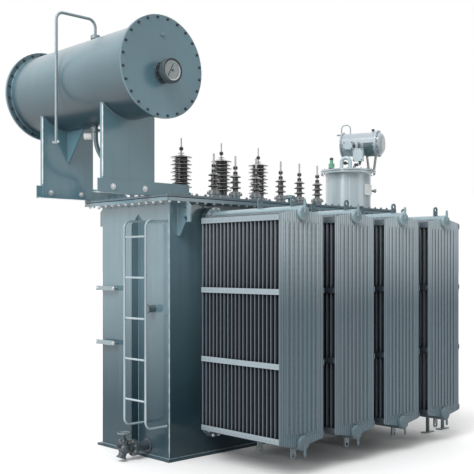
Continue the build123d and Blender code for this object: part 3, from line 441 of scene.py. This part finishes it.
# Faces that look along X are given one flat grey: painted light, standing in for how light falls on the panel
# edges.
endways_painted_light = blend(fin_tree, reckon(fin_tree, "ABSOLUTE", facing(fin_tree, "X")), ribbed, (0.20, 0.20, 0.25))
rib_relief = {"Strength": 0.6, "Distance": 0.004, "Height": ribs, "Normal": fed(fin_tree, "Normal")}
feed(fin_tree, {"Base Color": endways_painted_light, "Normal": node(fin_tree, "Bump", rib_relief).outputs[0]})
# Painted shade in the narrow gaps between the fins.
shut_in_painted_shade(fin_tree, 0.12, 6, 0.25, 0.75, (0.012, 0.014, 0.018))
# The headers' paint darkens towards the lower headers by shade: painted shade.
header_paint = paint("header_paint", (0.24, 0.335, 0.37), roughness=0.22, coat=0.8, ripple=0.05, dirt=0.2,
                     shade=0.6, shade_span=(1.9, 0.9))
for number in range(1, 5):
    finish_nodes(fin_paint, f"radiator_{number}_panels")
    finish_nodes(header_paint, f"radiator_{number}_headers")
band_paint = plain_finish("band_paint", (0.28, 0.345, 0.375), 0.30, speckle=0.12, scale=20.0)
# Painted shade on the tie bands where they run into the gaps between radiators.
shut_in_painted_shade(band_paint.node_tree, 0.5, 8, 0.55, 0.90, (0.022, 0.034, 0.050))
finish_nodes(band_paint, "radiator_bands")
valve_paint = paint("valve_paint", (0.115, 0.175, 0.205), roughness=0.20, coat=0.6, ripple=0.05, dirt=0.25)
finish_nodes(valve_paint, "radiator_valves", "radiator_hangers")
post_paint = paint("post_paint", (0.20, 0.25, 0.24), roughness=0.4, coat=0.2, ripple=0.0)
finish_nodes(post_paint, "radiator_posts")

header_beads = []
t = np.linspace(0.0, 2 * np.pi, 40)
for x in radiator_xs:
    for z in header_zs:
        for y, radius in ((-0.588, 0.006), (-0.501, 0.007)):
            circle = np.c_[x + header_radius * np.cos(t), np.full(40, y), z + header_radius * np.sin(t)]
            header_beads.append(weld_bead(circle, radius, (0, 1, 0)))
piece("header_welds", joined(header_beads), bead_paint)

tack_grid = np.stack(np.meshgrid(radiator_xs, (-1, 1), band_zs, panel_ys, indexing="ij"), axis=-1)
tack_x, tack_side, tack_z, tack_y = tack_grid.reshape(-1, 4).T
tack_spots = np.c_[tack_x + tack_side * band_face, tack_y - 0.0065, tack_z]
tack_ways = np.c_[tack_side, np.zeros((len(tack_side), 2))]
piece("band_tacks", copies(tack(0.007, 0.003), tack_spots, tack_ways), band_paint)

spot_columns = np.linspace(-0.205, 0.205, 9)
spot_zs = np.arange(panel_low + 0.045, panel_high - 0.02, 0.055)
spot_grid = np.stack(np.meshgrid(radiator_xs, spot_columns, spot_zs, indexing="ij"), axis=-1).reshape(-1, 3)
panel_spots = np.c_[spot_grid[:, 0] + spot_grid[:, 1], np.full(len(spot_grid), outer_face), spot_grid[:, 2]]
piece("panel_spots", copies(tack(0.0055, 0.0012), panel_spots, (0, -1, 0)), fin_paint)

flanges = [(x, 0.0, z) for x in radiator_xs for z in header_zs]
valve_ring = np.vstack([
    ring_places(flange, valve_bolt_circle, 8, (1, 0, 0), (0, 0, 1), math.pi / 8) for flange in flanges
])
outer_nuts, inner_nuts = valve_ring + (0.0, -0.602, 0.0), valve_ring + (0.0, -0.534, 0.0)
valve_shapes = [
    copies(bolt_head(0.024, 0.012, 0.006), outer_nuts, (0, -1, 0)),
    copies(bolt_head(0.024, 0.012), inner_nuts, (0, 1, 0)),
    copies(lathe([(0.007, 0.0), (0.007, 0.068)], 8), inner_nuts, (0, -1, 0)),
]
piece("valve_bolts", joined(valve_shapes), galvanised)

plug_cap = lathe([(0.0100, 0.0), (0.0100, 0.010), (0.008, 0.012), (0.0, 0.012)], 6)
plug_zs = (header_zs[0] - plug_reach, header_zs[1] + plug_reach)
plug_places = [(x, plug_end_y, z) for x in radiator_xs for z in plug_zs]
plug_ways = [(0, 0, way) for x in radiator_xs for way in (-1, 1)]
piece("header_plugs", copies(plug_cap, plug_places, plug_ways), header_paint)

# Ladder
# Round bar bent into two rails, welded to the end wall, with five rungs let in between them and
# painted with the tank.
rung_zs = 0.531 + 0.348 * np.arange(5)
rung_x = -1.705
rail_ys = (-0.463, -0.166)
rail_end_zs = (0.300, 2.062)
# The ladder is drawn in a copy of the tank's enamel made lighter, standing in for the light on its rungs: its
# own blue-grey with a painted highlight.
ladder_lit_paint = paint("ladder_lit_paint", (0.36, 0.45, 0.49), roughness=0.18, coat=0.8, ripple=0.0)
finish_nodes(ladder_lit_paint, "ladder")
t = np.linspace(0.0, 2 * np.pi, 24)
ladder_beads = []
for y in rail_ys:
    for z in rail_end_zs:
        circle = np.c_[np.full(24, -1.4815), y + 0.011 * np.cos(t), z + 0.011 * np.sin(t)]
        ladder_beads.append(weld_bead(circle, 0.004, (1, 0, 0), 0.004))
for inward, y in ((1, rail_ys[0]), (-1, rail_ys[1])):
    for z in rung_zs:
        circle = np.c_[rung_x + 0.0095 * np.cos(t), np.full(24, y + inward * 0.0095), z + 0.0095 * np.sin(t)]
        ladder_beads.append(weld_bead(circle, 0.0025, (0, 1, 0), 0.004))
piece("ladder_welds", joined(ladder_beads), bead_paint)

# Wall bars and thermometer pocket
# Two flat bars stand off the end wall on pegs, for cables, each held by a bolt at either end. The
# pocket between the ladder and the bars is a short turned steel tube with a dark blind end.
wall_bar_face = -1.535
wall_bar_zs = (0.970, 1.470)
fitting_paint = paint("fitting_paint", (0.24, 0.31, 0.34), roughness=0.20, coat=0.7, ripple=0.0)
finish_nodes(fitting_paint, "wall_bars")
pocket_paint = paint("pocket_paint", (0.085, 0.12, 0.14), roughness=0.25, coat=0.6, ripple=0.0)
finish_nodes(pocket_paint, "thermometer_pocket")
bar_bolt_spots = [(wall_bar_face, y, z) for y in (0.243, 0.497) for z in wall_bar_zs]
bar_bolts = copies(bolt_head(0.022, 0.010, 0.006), bar_bolt_spots, (-1, 0, 0))
piece("wall_bar_bolts", bar_bolts, galvanised)

# Drain valve
# A cast angle valve left in its dark foundry primer, bolted between flanges on a stub from a round
# pad on the wall. Its pressed steel handwheel is painted pale.
drain_y, drain_z = -0.2, 0.102
drain_flange_xs = (-1.625, -1.654)
drain_bolt_circle = 0.060
bonnet_place = (-1.736, drain_y, 0.178)
bonnet_bolt_circle = 0.037
cast_paint = paint("cast_paint", (0.040, 0.056, 0.068), roughness=0.40, coat=0.3, ripple=0.0, dirt=0.2)
finish_nodes(cast_paint, "drain_valve")
wheel_paint = plain_finish("wheel_paint", (0.16, 0.20, 0.22), 0.32, speckle=0.2, scale=30.0)
finish_nodes(wheel_paint, "drain_handwheel")
drain_shapes = []
for x, way, stud in zip(drain_flange_xs, (1, -1), (0.0, 0.004)):
    ring = ring_places((x, drain_y, drain_z), drain_bolt_circle, 8, (0, 1, 0), (0, 0, 1), math.pi / 8)
    drain_shapes.append(copies(bolt_head(0.018, 0.009, stud), ring, (way, 0, 0)))
bonnet_ring = ring_places(bonnet_place, bonnet_bolt_circle, 4, (1, 0, 0), (0, 1, 0), math.pi / 4)
drain_shapes.append(copies(bolt_head(0.011, 0.006, 0.004), bonnet_ring, (0, 0, 1)))
dull_steel = plain_finish("dull_steel", (0.30, 0.30, 0.29), 0.42, metallic=0.7, speckle=0.4)
piece("drain_bolts", joined(drain_shapes), dull_steel)

# Oil drum
# The conservator is a shell rolled from plate with one lengthwise seam, a flange welded to each end
# and a flat cover bolted on by twenty-four bolts. Its belly is painted darker: painted shade.
drum_x = -1.815
drum_axis = np.array([drum_x, 0.0, 3.271])
drum_radius = 0.368
drum_bolt_circle = 0.391
near_face, near_flange, far_flange, far_face = -0.828, -0.800, 0.930, 0.958
seam_turn = math.radians(24.0)
drum_paint = paint("drum_paint", (0.105, 0.185, 0.22), roughness=0.30, coat=0.8, ripple=0.12, dirt=0.2,
                   streak_scale=4.0, coat_blur=0.28)
drum_tree = drum_paint.node_tree
# Painted shade: faces that turn downwards are darkened, and lose their coat.
belly_painted_shade = remap(drum_tree, facing(drum_tree, "Z"), 0.35, -0.75, high=0.85)
feed(drum_tree, {
    "Base Color": blend(drum_tree, belly_painted_shade, fed(drum_tree, "Base Color"), (0.018, 0.042, 0.058)),
    "Coat Weight": reckon(drum_tree, "MULTIPLY_ADD", belly_painted_shade, -0.9, 0.8),
})
finish_nodes(drum_paint, "conservator")
disc_paint = paint("disc_paint", (0.115, 0.225, 0.275), roughness=0.30, coat=0.7, ripple=0.10, dirt=0.15,
                   coat_blur=0.25)
finish_nodes(disc_paint, "conservator_covers")
dark_steel = plain_finish("dark_steel", (0.045, 0.055, 0.065), 0.35, metallic=0.4, speckle=0.4)
drum_bolt_rows = (
    (near_face, -1, 0.010, 0.006),
    (near_flange, 1, 0.010, 0.0),
    (far_face, 1, 0.006, 0.0),
    (far_flange, -1, 0.010, 0.0),
)
drum_bolts = []
for y, way, rise, stud in drum_bolt_rows:
    ring = ring_places(drum_axis + (0, y, 0), drum_bolt_circle, 24, (1, 0, 0), (0, 0, 1), math.pi / 24)
    drum_bolts.append(copies(bolt_head(0.018, rise, stud), ring, (0, way, 0)))
drum_beads = []
for y in (near_flange, far_flange):
    circle = ring_places(drum_axis + (0, y, 0), drum_radius, 120, (1, 0, 0), (0, 0, 1))
    drum_beads.append(weld_bead(np.vstack([circle, circle[:1]]), 0.006, (0, 1, 0), 0.012))
seam = drum_axis + (drum_radius * math.cos(seam_turn), 0, drum_radius * math.sin(seam_turn))
drum_beads.append(weld_bead([seam + (0, near_flange, 0), seam + (0, far_flange, 0)], 0.005, (0, 0, 1)))
piece("drum_bolts", joined(drum_bolts), dark_steel)
piece("drum_welds", joined(drum_beads), bead_paint)
vent_plug = lathe([(0.016, 0.0), (0.016, 0.012), (0.011, 0.016), (0.0, 0.016)], 6)
piece("drum_plug", copies(vent_plug, (drum_x, near_face, 3.523), (0, -1, 0)), disc_paint)

# Level gauge
# The gauge on the near cover is a cast case on a short neck, with a dial behind glass in a pale
# rim. Only a crescent of that rim at the lower right is drawn white, where light falls on it: painted
# light. Its face is bare apart from plain ticks, and one needle stands over it.
gauge_z = 3.221
gauge_centre = np.array([drum_x, -0.952, gauge_z])
dial_radius = 0.079
crescent_radius = 0.0785
case_paint = plain_finish("case_paint", (0.055, 0.075, 0.085), 0.25, speckle=0.2)
finish_nodes(case_paint, "level_gauge")
dial_grey = plain_finish("dial_grey", (0.31, 0.35, 0.36), 0.25, speckle=0.05)
lit_ring_white = plain_finish("lit_ring_white", (0.75, 0.78, 0.78), 0.3, speckle=0.05)
inner_rim = lathe([(0.089, 0.0), (0.086, 0.004), (0.080, 0.004), (dial_radius, 0.0025)], 48)
dial = lathe([(dial_radius, 0.0), (dial_radius, 0.003), (0.0, 0.003)], 48)
piece("gauge_inner_rim", copies(inner_rim, gauge_centre, (0, -1, 0)), case_paint)
piece("gauge_dial", copies(dial, gauge_centre, (0, -1, 0)), dial_grey)

# The white is the rim's own colour; its crescent shape, white at the lower right only, is painted light.
crescent_turns = np.radians(np.linspace(-115.0, 40.0, 40))
crescent_way = np.c_[np.cos(crescent_turns), np.zeros(40), np.sin(crescent_turns)]
crescent_swell = np.sin(np.linspace(0.0, np.pi, 40))[:, None] ** 0.6
crescent_rise = 0.001 * crescent_swell * (0.0, -1.0, 0.0)
outer_arc = crescent_way * crescent_radius
inner_arc = crescent_way * (crescent_radius - 0.009 * crescent_swell)
crescent_corners = [outer_arc, inner_arc, inner_arc + crescent_rise, outer_arc + crescent_rise]
crescent = np.stack(crescent_corners, axis=1).reshape(-1, 3) + (gauge_centre - (0.0, 0.003, 0.0))
piece("gauge_lit_crescent", (crescent, grid_faces(40, 4, True)), lit_ring_white)

foot_flange = lathe([(0.088, 0.0), (0.088, 0.009), (0.085, 0.012), (0.050, 0.012)], 48)
foot_nut_ring = ring_places((drum_x, -0.840, gauge_z), 0.072, 8, (1, 0, 0), (0, 0, 1))
gauge_foot = joined([
    copies(foot_flange, (drum_x, near_face, gauge_z), (0, -1, 0)),
    copies(bolt_head(0.014, 0.008, 0.005), foot_nut_ring, (0, -1, 0)),
])
piece("gauge_foot", gauge_foot, case_paint)


def needle_bar(start, end, width, depth):
    """A straight bar with tapered ends in the plane of the dial: at share u and angle t its surface
    is start + u (end - start) + scale(u) (cos t width / 2 side + sin t depth / 2 out)."""
    start, end = np.asarray(start, float), np.asarray(end, float)
    forward = (end - start) / np.linalg.norm(end - start)
    out = np.array([0.0, -1.0, 0.0])
    side = np.cross(forward, out)
    t = np.linspace(0.0, 2 * np.pi, 12, endpoint=False)
    ring = np.cos(t)[:, None] * side * width / 2 + np.sin(t)[:, None] * out * depth / 2
    u = np.array([0.0, 0.0, 0.04, 0.96, 1.0, 1.0])
    scale = np.array([0.0, 0.7, 1.0, 1.0, 0.7, 0.0])
    middle = start + u[:, None] * (end - start)
    points = middle[:, None, :] + scale[:, None, None] * ring[None]
    return points.reshape(-1, 3), grid_faces(6, 12, True)


tick_turns = np.radians(np.linspace(-50.0, 230.0, 15))
tick_ring = np.c_[np.cos(tick_turns), np.zeros(15), np.sin(tick_turns)]
front = gauge_centre + (0.0, -0.0035, 0.0)
marks = [needle_bar(front + 0.056 * way, front + 0.066 * way, 0.0025, 0.001) for way in tick_ring]
marks.append(needle_bar(front + (-0.050, -0.001, -0.052), front + (0.006, -0.001, 0.052), 0.008, 0.002))
marks.append(copies(lathe([(0.010, 0.0), (0.009, 0.003), (0.0, 0.004)], 16), front, (0, -1, 0)))
piece("gauge_marks", joined(marks), case_paint)

# Oil drum supports
# Two saddle plates with folded edges and a gusset each stand on angle beams bolted to the cover,
# welded all round and painted with the drum.
saddle_ys = (-0.381, 0.549)
gusset_ys = (-0.370, 0.550)
fold_x, fold_low, fold_high = -2.080, 2.394, 3.016
support_paint = paint("support_paint", (0.125, 0.245, 0.295), roughness=0.2, coat=0.7, ripple=0.08, dirt=0.2,
                      coat_blur=0.15)
finish_nodes(support_paint, "conservator_support_near", "conservator_support_far", "conservator_beams")
beam_bolt_spots = [(-1.985, -0.390, 2.330), (-1.657, -0.390, 2.330)]
beam_bolt_spots += [(-1.997, 0.550, 2.334), (-1.676, 0.550, 2.334)]
beam_washer = lathe([(0.0, 0.0), (0.026, 0.0), (0.026, 0.003), (0.0, 0.003)], 24)
beam_head = joined([beam_washer, bolt_head(0.030, 0.016, 0.010)])
piece("beam_bolts", copies(beam_head, beam_bolt_spots, (0, -1, 0)), galvanised)
saddle_turns = np.radians(np.linspace(224.0, 316.0, 60))
saddle_line = np.c_[np.cos(saddle_turns), np.zeros(60), np.sin(saddle_turns)] * (drum_radius + 0.001)
saddle_beads = [weld_bead(drum_axis + (0, y, 0) + saddle_line, 0.005, (0, 1, 0)) for y in saddle_ys]
for y in gusset_ys:
    for edge in (-0.005, 0.005):
        gusset_run = [(drum_x + edge, y, 2.62), (drum_x + edge, y, 2.895)]
        saddle_beads.append(weld_bead(gusset_run, 0.004, (1, 0, 0)))
piece("saddle_welds", joined(saddle_beads), bead_paint)
# Pale strips down the folded edges of the saddle plates: painted highlights on the folds.
fold_highlight_paint = plain_finish("fold_highlight_paint", (0.74, 0.78, 0.80), 0.22, speckle=0.06)
fold_runs = [[(fold_x, y, fold_low), (fold_x, y, fold_high)] for y in (-0.3775, 0.5525)]
fold_highlights = joined([weld_bead(run, 0.006, (1, 0, 0), 0.02) for run in fold_runs])
piece("fold_highlights", fold_highlights, fold_highlight_paint)

# Breather and oil pipes
# Bent gas pipe with screwed flanges. The breather pipe hangs beside the drum with a small hood at
# its end, and the oil pipe runs down through the gas relay to the cover.
breather_y = 0.118
breather_flange_z = 3.669
breather_flange_thickness = 0.028
pipe_paint = paint("pipe_paint", (0.115, 0.165, 0.19), roughness=0.22, coat=0.6, ripple=0.0, dirt=0.2)
finish_nodes(pipe_paint, "oil_pipe")
finish_nodes(fitting_paint, "breather_pipe")
flange_bolts = []
for z, way in ((breather_flange_z + breather_flange_thickness, 1), (breather_flange_z, -1)):
    ring = ring_places((drum_x, breather_y, z), 0.033, 4, (1, 0, 0), (0, 1, 0), 0.6)
    flange_bolts.append(copies(bolt_head(0.011, 0.006), ring, (0, 0, way)))
piece("pipe_bolts", joined(flange_bolts), dark_steel)
relay_paint = paint("relay_paint", (0.33, 0.38, 0.40), roughness=0.3, coat=0.4, ripple=0.0)
finish_nodes(relay_paint, "oil_relay")
knob_profile = [(0.010, 0.0), (0.010, 0.026), (0.026, 0.028), (0.029, 0.032), (0.029, 0.094), (0.026, 0.098)]
valve_knob = copies(lathe(knob_profile, 24), (-1.820, 0.110, 2.812), (-0.73, 0.69, 0.0))
knob_white = plain_finish("knob_white", (0.80, 0.82, 0.82), 0.3, speckle=0.05)
piece("oil_valve_knob", valve_knob, knob_white)
hood_nut_spots = [(-2.210, 0.082, 2.722), (-2.210, 0.154, 2.722)]
hood_nuts = copies(bolt_head(0.018, 0.012, 0.006), hood_nut_spots, (-0.6, -0.2, 0.8))
piece("hood_nuts", hood_nuts, galvanised)

# High-voltage bushings
# Brown-black glazed porcelain with drooping sheds, clamped to a riser on the cover by a flange with
# studs. A cast cap and a bare rod stand on top.
hv_xs = np.array([-0.698, -0.166, 0.366])
hv_y = 0.28
hv_radii = np.where(np.arange(9) % 2 == 0, 0.107, 0.094)
hv_flange_top, hv_stud_circle = 2.364, 0.108
hv_cap_z, hv_cap_radius = 2.8238, 0.0212


def porcelain(core, foot, first, pitch, radii, top, droop):
    """Turned porcelain: between sheds the profile keeps to the core radius; each shed runs out
    along a hollow underside to a rounded rim and back up a straight slope."""
    rim_half = 0.0055
    path = [np.array([[0.0, foot], [core * 1.12, foot], [core * 1.12, foot + 0.006], [core, foot + 0.012]])]
    u = np.linspace(0.0, 1.0, 6)
    t = np.linspace(-np.pi / 2, np.pi / 2, 7)
    for number, radius in enumerate(radii):
        rim = first + number * pitch
        reach = radius - core - rim_half
        under = np.c_[core + reach * u, rim + droop * (1.0 - u) ** 1.6]
        edge = np.c_[radius - rim_half + rim_half * np.cos(t), rim + rim_half + rim_half * np.sin(t)]
        back = np.c_[core + reach * (1.0 - u[1:]), rim + 2 * rim_half + droop * u[1:] ** 1.15]
        path += [under, edge, back]
    path.append(np.array([[core, top - 0.004], [core * 0.92, top], [0.0, top]]))
    return lathe(np.vstack(path), 48)


glaze = plain_finish("glaze", (0.008, 0.006, 0.0055), 0.12, speckle=0.5, scale=6.0)
glaze_tree = glaze.node_tree
glaze_shader = glaze_tree.nodes["Principled BSDF"]
glaze_shader.inputs["Coat Weight"].default_value = 1.0
glaze_shader.inputs["Coat Roughness"].default_value = 0.10
glaze_shader.inputs["Coat IOR"].default_value = 1.7
# The sloping tops of the sheds, short of the flat tops, are painted pale: a painted highlight on the shed
# rims.
upward = facing(glaze_tree, "Z")
upturned_share = remap(glaze_tree, upward, 0.0, 0.5, high=0.8)
below_flat_share = remap(glaze_tree, upward, 0.70, 0.93, low=1.0, high=0.10)
rim_painted_highlight = reckon(glaze_tree, "MULTIPLY", upturned_share, below_flat_share)
highlighted_glaze = blend(glaze_tree, rim_painted_highlight, fed(glaze_tree, "Base Color"), (0.50, 0.50, 0.48))
feed(glaze_tree, {"Base Color": highlighted_glaze})
hv_shape = porcelain(core=0.060, foot=2.390, first=2.438, pitch=0.0366, radii=hv_radii, top=2.7578,
                     droop=0.013)
hv_feet = np.c_[hv_xs, np.full(3, hv_y), np.zeros(3)]
hv_porcelain = piece("hv_porcelain", copies(hv_shape, hv_feet, (0, 0, 1)), glaze)
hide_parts("hv_bushings")
base_grey = plain_finish("base_grey", (0.30, 0.33, 0.34), 0.25, metallic=0.6, speckle=0.4)
finish_nodes(base_grey, "hv_bushing_bases", "lv_bushing_bases")
tinned = plain_finish("tinned", (0.60, 0.60, 0.58), 0.25, metallic=0.8, speckle=0.2)
finish_nodes(tinned, "hv_terminals", "lv_terminals")
hv_nut_rings = [ring_places((x, hv_y, hv_flange_top), hv_stud_circle, 8, (1, 0, 0), (0, 1, 0)) for x in hv_xs]
hv_nuts = copies(bolt_head(0.016, 0.009, 0.012), np.vstack(hv_nut_rings), (0, 0, 1))
piece("hv_nuts", hv_nuts, galvanised)
polar = np.linspace(-np.pi / 2, np.pi / 2, 14)
cap_ball = lathe(hv_cap_radius * np.c_[np.cos(polar), np.sin(polar)], 24)
hv_caps = copies(cap_ball, hv_feet + (0.0, 0.0, hv_cap_z), (0, 0, 1))
piece("hv_caps", hv_caps, dark_steel)

# Low-voltage bushings
# Six short porcelains of the same glaze with three sheds each, on small flanged risers. Stacked
# nuts and washers on the threaded rod clamp a square block.
lv_xs = np.array([-0.745, -0.468, -0.191, 0.157, 0.434, 0.711])
lv_y = -0.25
lv_radii = np.full(3, 0.055)
rod_nut_zs = (2.546, 2.594)
lv_shape = porcelain(core=0.027, foot=2.378, first=2.412, pitch=0.052, radii=lv_radii, top=2.543, droop=0.014)
lv_feet = np.c_[lv_xs, np.full(6, lv_y), np.zeros(6)]
lv_porcelain = piece("lv_porcelain", copies(lv_shape, lv_feet, (0, 0, 1)), glaze)
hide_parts("lv_bushings")
lv_nut_rings = [ring_places((x, lv_y, 2.356), 0.0575, 4, (1, 0, 0), (0, 1, 0), 0.785) for x in lv_xs]
rod_nut = lathe([(0.0, 0.0), (0.0225, 0.0), (0.0225, 0.024), (0.018, 0.028), (0.0, 0.028)], 6)
lv_nuts = joined([
    copies(bolt_head(0.011, 0.007, 0.008), np.vstack(lv_nut_rings), (0, 0, 1)),
    copies(rod_nut, np.vstack([lv_feet + (0.0, 0.0, z) for z in rod_nut_zs]), (0, 0, 1)),
])
piece("lv_nuts", lv_nuts, dark_steel)

# Turret
# A steel drum on the cover for the tap changer, closed by a bolted lid over a dark joint. It is
# sprayed pale grey, paler than the tank.
turret_centre = np.array([1.255, -0.22, 0.0])
turret_radius = 0.246
turret_bolt_circle = 0.288
turret_seam_turn = math.radians(-136.9)
lid_low, lid_joint, lid_top = 2.672, 2.688, 2.713
turret_paint = paint("turret_paint", (0.47, 0.56, 0.60), roughness=0.22, coat=0.9, ripple=0.10, dirt=0.15,
                     coat_ior=1.8, coat_blur=0.16)
finish_nodes(turret_paint, "turret", "turret_lid")
finish_nodes(gasket_rubber, "turret_joint")
turret_ring = ring_places(turret_centre, turret_bolt_circle, 24, (1, 0, 0), (0, 1, 0), math.pi / 24)
turret_bolts = joined([
    copies(bolt_head(0.014, 0.008), turret_ring + (0, 0, lid_low), (0, 0, -1)),
    copies(bolt_head(0.014, 0.008, 0.006), turret_ring + (0, 0, lid_top), (0, 0, 1)),
    copies(lathe([(0.005, 0.0), (0.005, 0.010)], 8), turret_ring + (0, 0, lid_joint), (0, 0, 1)),
])
piece("turret_bolts", turret_bolts, turret_paint)
# The turret's welds are drawn paler than its paint: a painted highlight along them.
turret_weld_highlight_paint = paint("turret_weld_highlight_paint", (0.72, 0.78, 0.80), roughness=0.25, coat=0.6, ripple=0.0)
turret_beads = []
for z in (2.281, 2.671):
    circle = ring_places(turret_centre + (0, 0, z), turret_radius, 96, (1, 0, 0), (0, 1, 0))
    turret_beads.append(weld_bead(np.vstack([circle, circle[:1]]), 0.006, (0, 0, 1), 0.012))
seam_way = np.array([math.cos(turret_seam_turn), math.sin(turret_seam_turn), 0.0])
seam = turret_centre + turret_radius * seam_way
turret_beads.append(weld_bead([seam + (0, 0, 2.285), seam + (0, 0, 2.670)], 0.0035, (0.73, -0.68, 0)))
piece("turret_welds", joined(turret_beads), turret_weld_highlight_paint)

u = np.linspace(0.0, 2 * np.pi, 48, endpoint=False)
tag_round = np.c_[np.cos(u), np.sin(u)]
tag_edge = 0.059 * np.abs(tag_round) ** 0.2 * np.sign(tag_round)
tag_steps = ((0.0, 0.0), (1.0, 0.0), (1.0, 0.004), (0.93, 0.006), (0.90, 0.004), (0.0, 0.004))
tag_points = np.concatenate([np.c_[tag_edge * scale, np.full(48, depth)] for scale, depth in tag_steps])
tag = copies((tag_points, grid_faces(6, 48, True)), (1.282, -0.472, 2.493), (0, -1, 0))
piece("turret_tag", tag, plain_finish("tag_white", (0.84, 0.86, 0.85), 0.3, speckle=0.03))
tag_peg_spots = [(1.262, -0.445, 2.520), (1.262, -0.445, 2.466)]
side_plug_profile = [(0.012, 0.0), (0.012, 0.036), (0.020, 0.038), (0.020, 0.056), (0.014, 0.062)]
side_plug = lathe(side_plug_profile + [(0.0, 0.062)], 12)
turret_fittings = joined([
    copies(lathe([(0.012, 0.0), (0.012, 0.03)], 12), tag_peg_spots, (0, -1, 0)),
    copies(side_plug, turret_centre + (0.122, -0.2115, 2.486), (0.5, -0.866, 0.0)),
])
piece("turret_fittings", turret_fittings, dull_steel)

# Tap changer's oil drum and its fittings
# A small oil drum with a dished cover lies on a green cradle above the lid. Beside it hang the gas
# relay and a cast terminal box, with bent pipes down to the lid and a green desiccant breather.
reach_way = np.array([0.3746, -0.9272, 0.0])
across_way = -np.array([0.9272, 0.3746, 0.0])
up_way = np.array([0.0, 0.0, 1.0])
tap_axis_z = 2.990
tap_bolt_circle = 0.1345
tap_paint = paint("tap_paint", (0.36, 0.42, 0.46), roughness=0.25, coat=0.8, ripple=0.02, dirt=0.1,
                  coat_blur=0.22)
finish_nodes(tap_paint, "tap_drum")
pale_cast = paint("pale_cast", (0.50, 0.60, 0.64), roughness=0.25, coat=0.6, ripple=0.0, dirt=0.15)
finish_nodes(pale_cast, "tap_relay", "tap_box", "tap_pipes")
cradle_green = paint("cradle_green", (0.085, 0.145, 0.155), roughness=0.3, coat=0.4, ripple=0.0)
finish_nodes(cradle_green, "tap_saddle")
finish_nodes(plain_finish("green_plastic", (0.16, 0.42, 0.28), 0.2, speckle=0.15, scale=25.0), "tap_breather")


def tap_point(reach, across, z):
    """A place on the lid's own axes: along the small drum, then across towards the relay."""
    return turret_centre + reach * reach_way + across * across_way + z * up_way


tap_bolts = []
for reach, way, stud in ((0.317, -1, 0.0), (0.345, 1, 0.005)):
    ring = ring_places(tap_point(reach, 0, tap_axis_z), tap_bolt_circle, 16, across_way, up_way, math.pi / 16)
    tap_bolts.append(copies(bolt_head(0.013, 0.008, stud), ring, way * reach_way))
piece("tap_bolts", joined(tap_bolts), tap_paint)
box_spots = [tap_point(0.055 + a, 0.190, 2.963 + b) for a in (-0.042, 0.042) for b in (-0.031, 0.031)]
relay_spots = [tap_point(0.172 + a, 0.219, 2.854 + b) for a in (-0.044, 0.044) for b in (-0.055, 0.055)]
cover_screws = copies(bolt_head(0.010, 0.006), box_spots + relay_spots, across_way)
piece("tap_cover_screws", cover_screws, dark_steel)

breather_foot = turret_centre + (-0.255, 0.020, 0.0)
foot_ring = lathe([(0.0335, 0.0), (0.0335, 0.010), (0.030, 0.012)], 24)
top_cap = lathe([(0.0185, 0.0), (0.0205, 0.003), (0.0205, 0.016), (0.014, 0.020), (0.011, 0.020)], 24)
filler_cap = lathe([(0.0165, 0.0), (0.0165, 0.020), (0.012, 0.0235), (0.0, 0.0235)], 16)
dark_caps = joined([
    copies(foot_ring, breather_foot + (0, 0, lid_top), up_way),
    copies(top_cap, breather_foot + (0, 0, 2.812), up_way),
    copies(filler_cap, tap_point(0.280, 0, 3.127), up_way),
])
piece("tap_caps", dark_caps, dark_steel)

window_profile = [(0.0, 0.0), (0.030, 0.0), (0.030, 0.004), (0.025, 0.006), (0.022, 0.003), (0.0, 0.003)]
window = copies(lathe(window_profile, 32), tap_point(0.116, 0.190, 2.862), -reach_way)
lever = lathe([(0.008, 0.0), (0.008, 0.040), (0.019, 0.042), (0.019, 0.062), (0.0, 0.062)], 12)
lever_spots = [tap_point(0.150, 0.150, 2.952), tap_point(0.060, 0.190, 2.770)]
levers = copies(lever, lever_spots, across_way - 0.4 * reach_way)
hose_bends = [(0.190, 2.790), (0.190, 2.770), (0.184, 2.758), (0.172, 2.753)]
hose_bends += [(0.146, 2.753), (0.134, 2.748), (0.128, 2.736), (0.128, 2.714)]
hose = weld_bead([tap_point(reach, 0.190, z) for reach, z in hose_bends], 0.0155, across_way)
piece("tap_window", joined([window, levers, hose]), dark_steel)
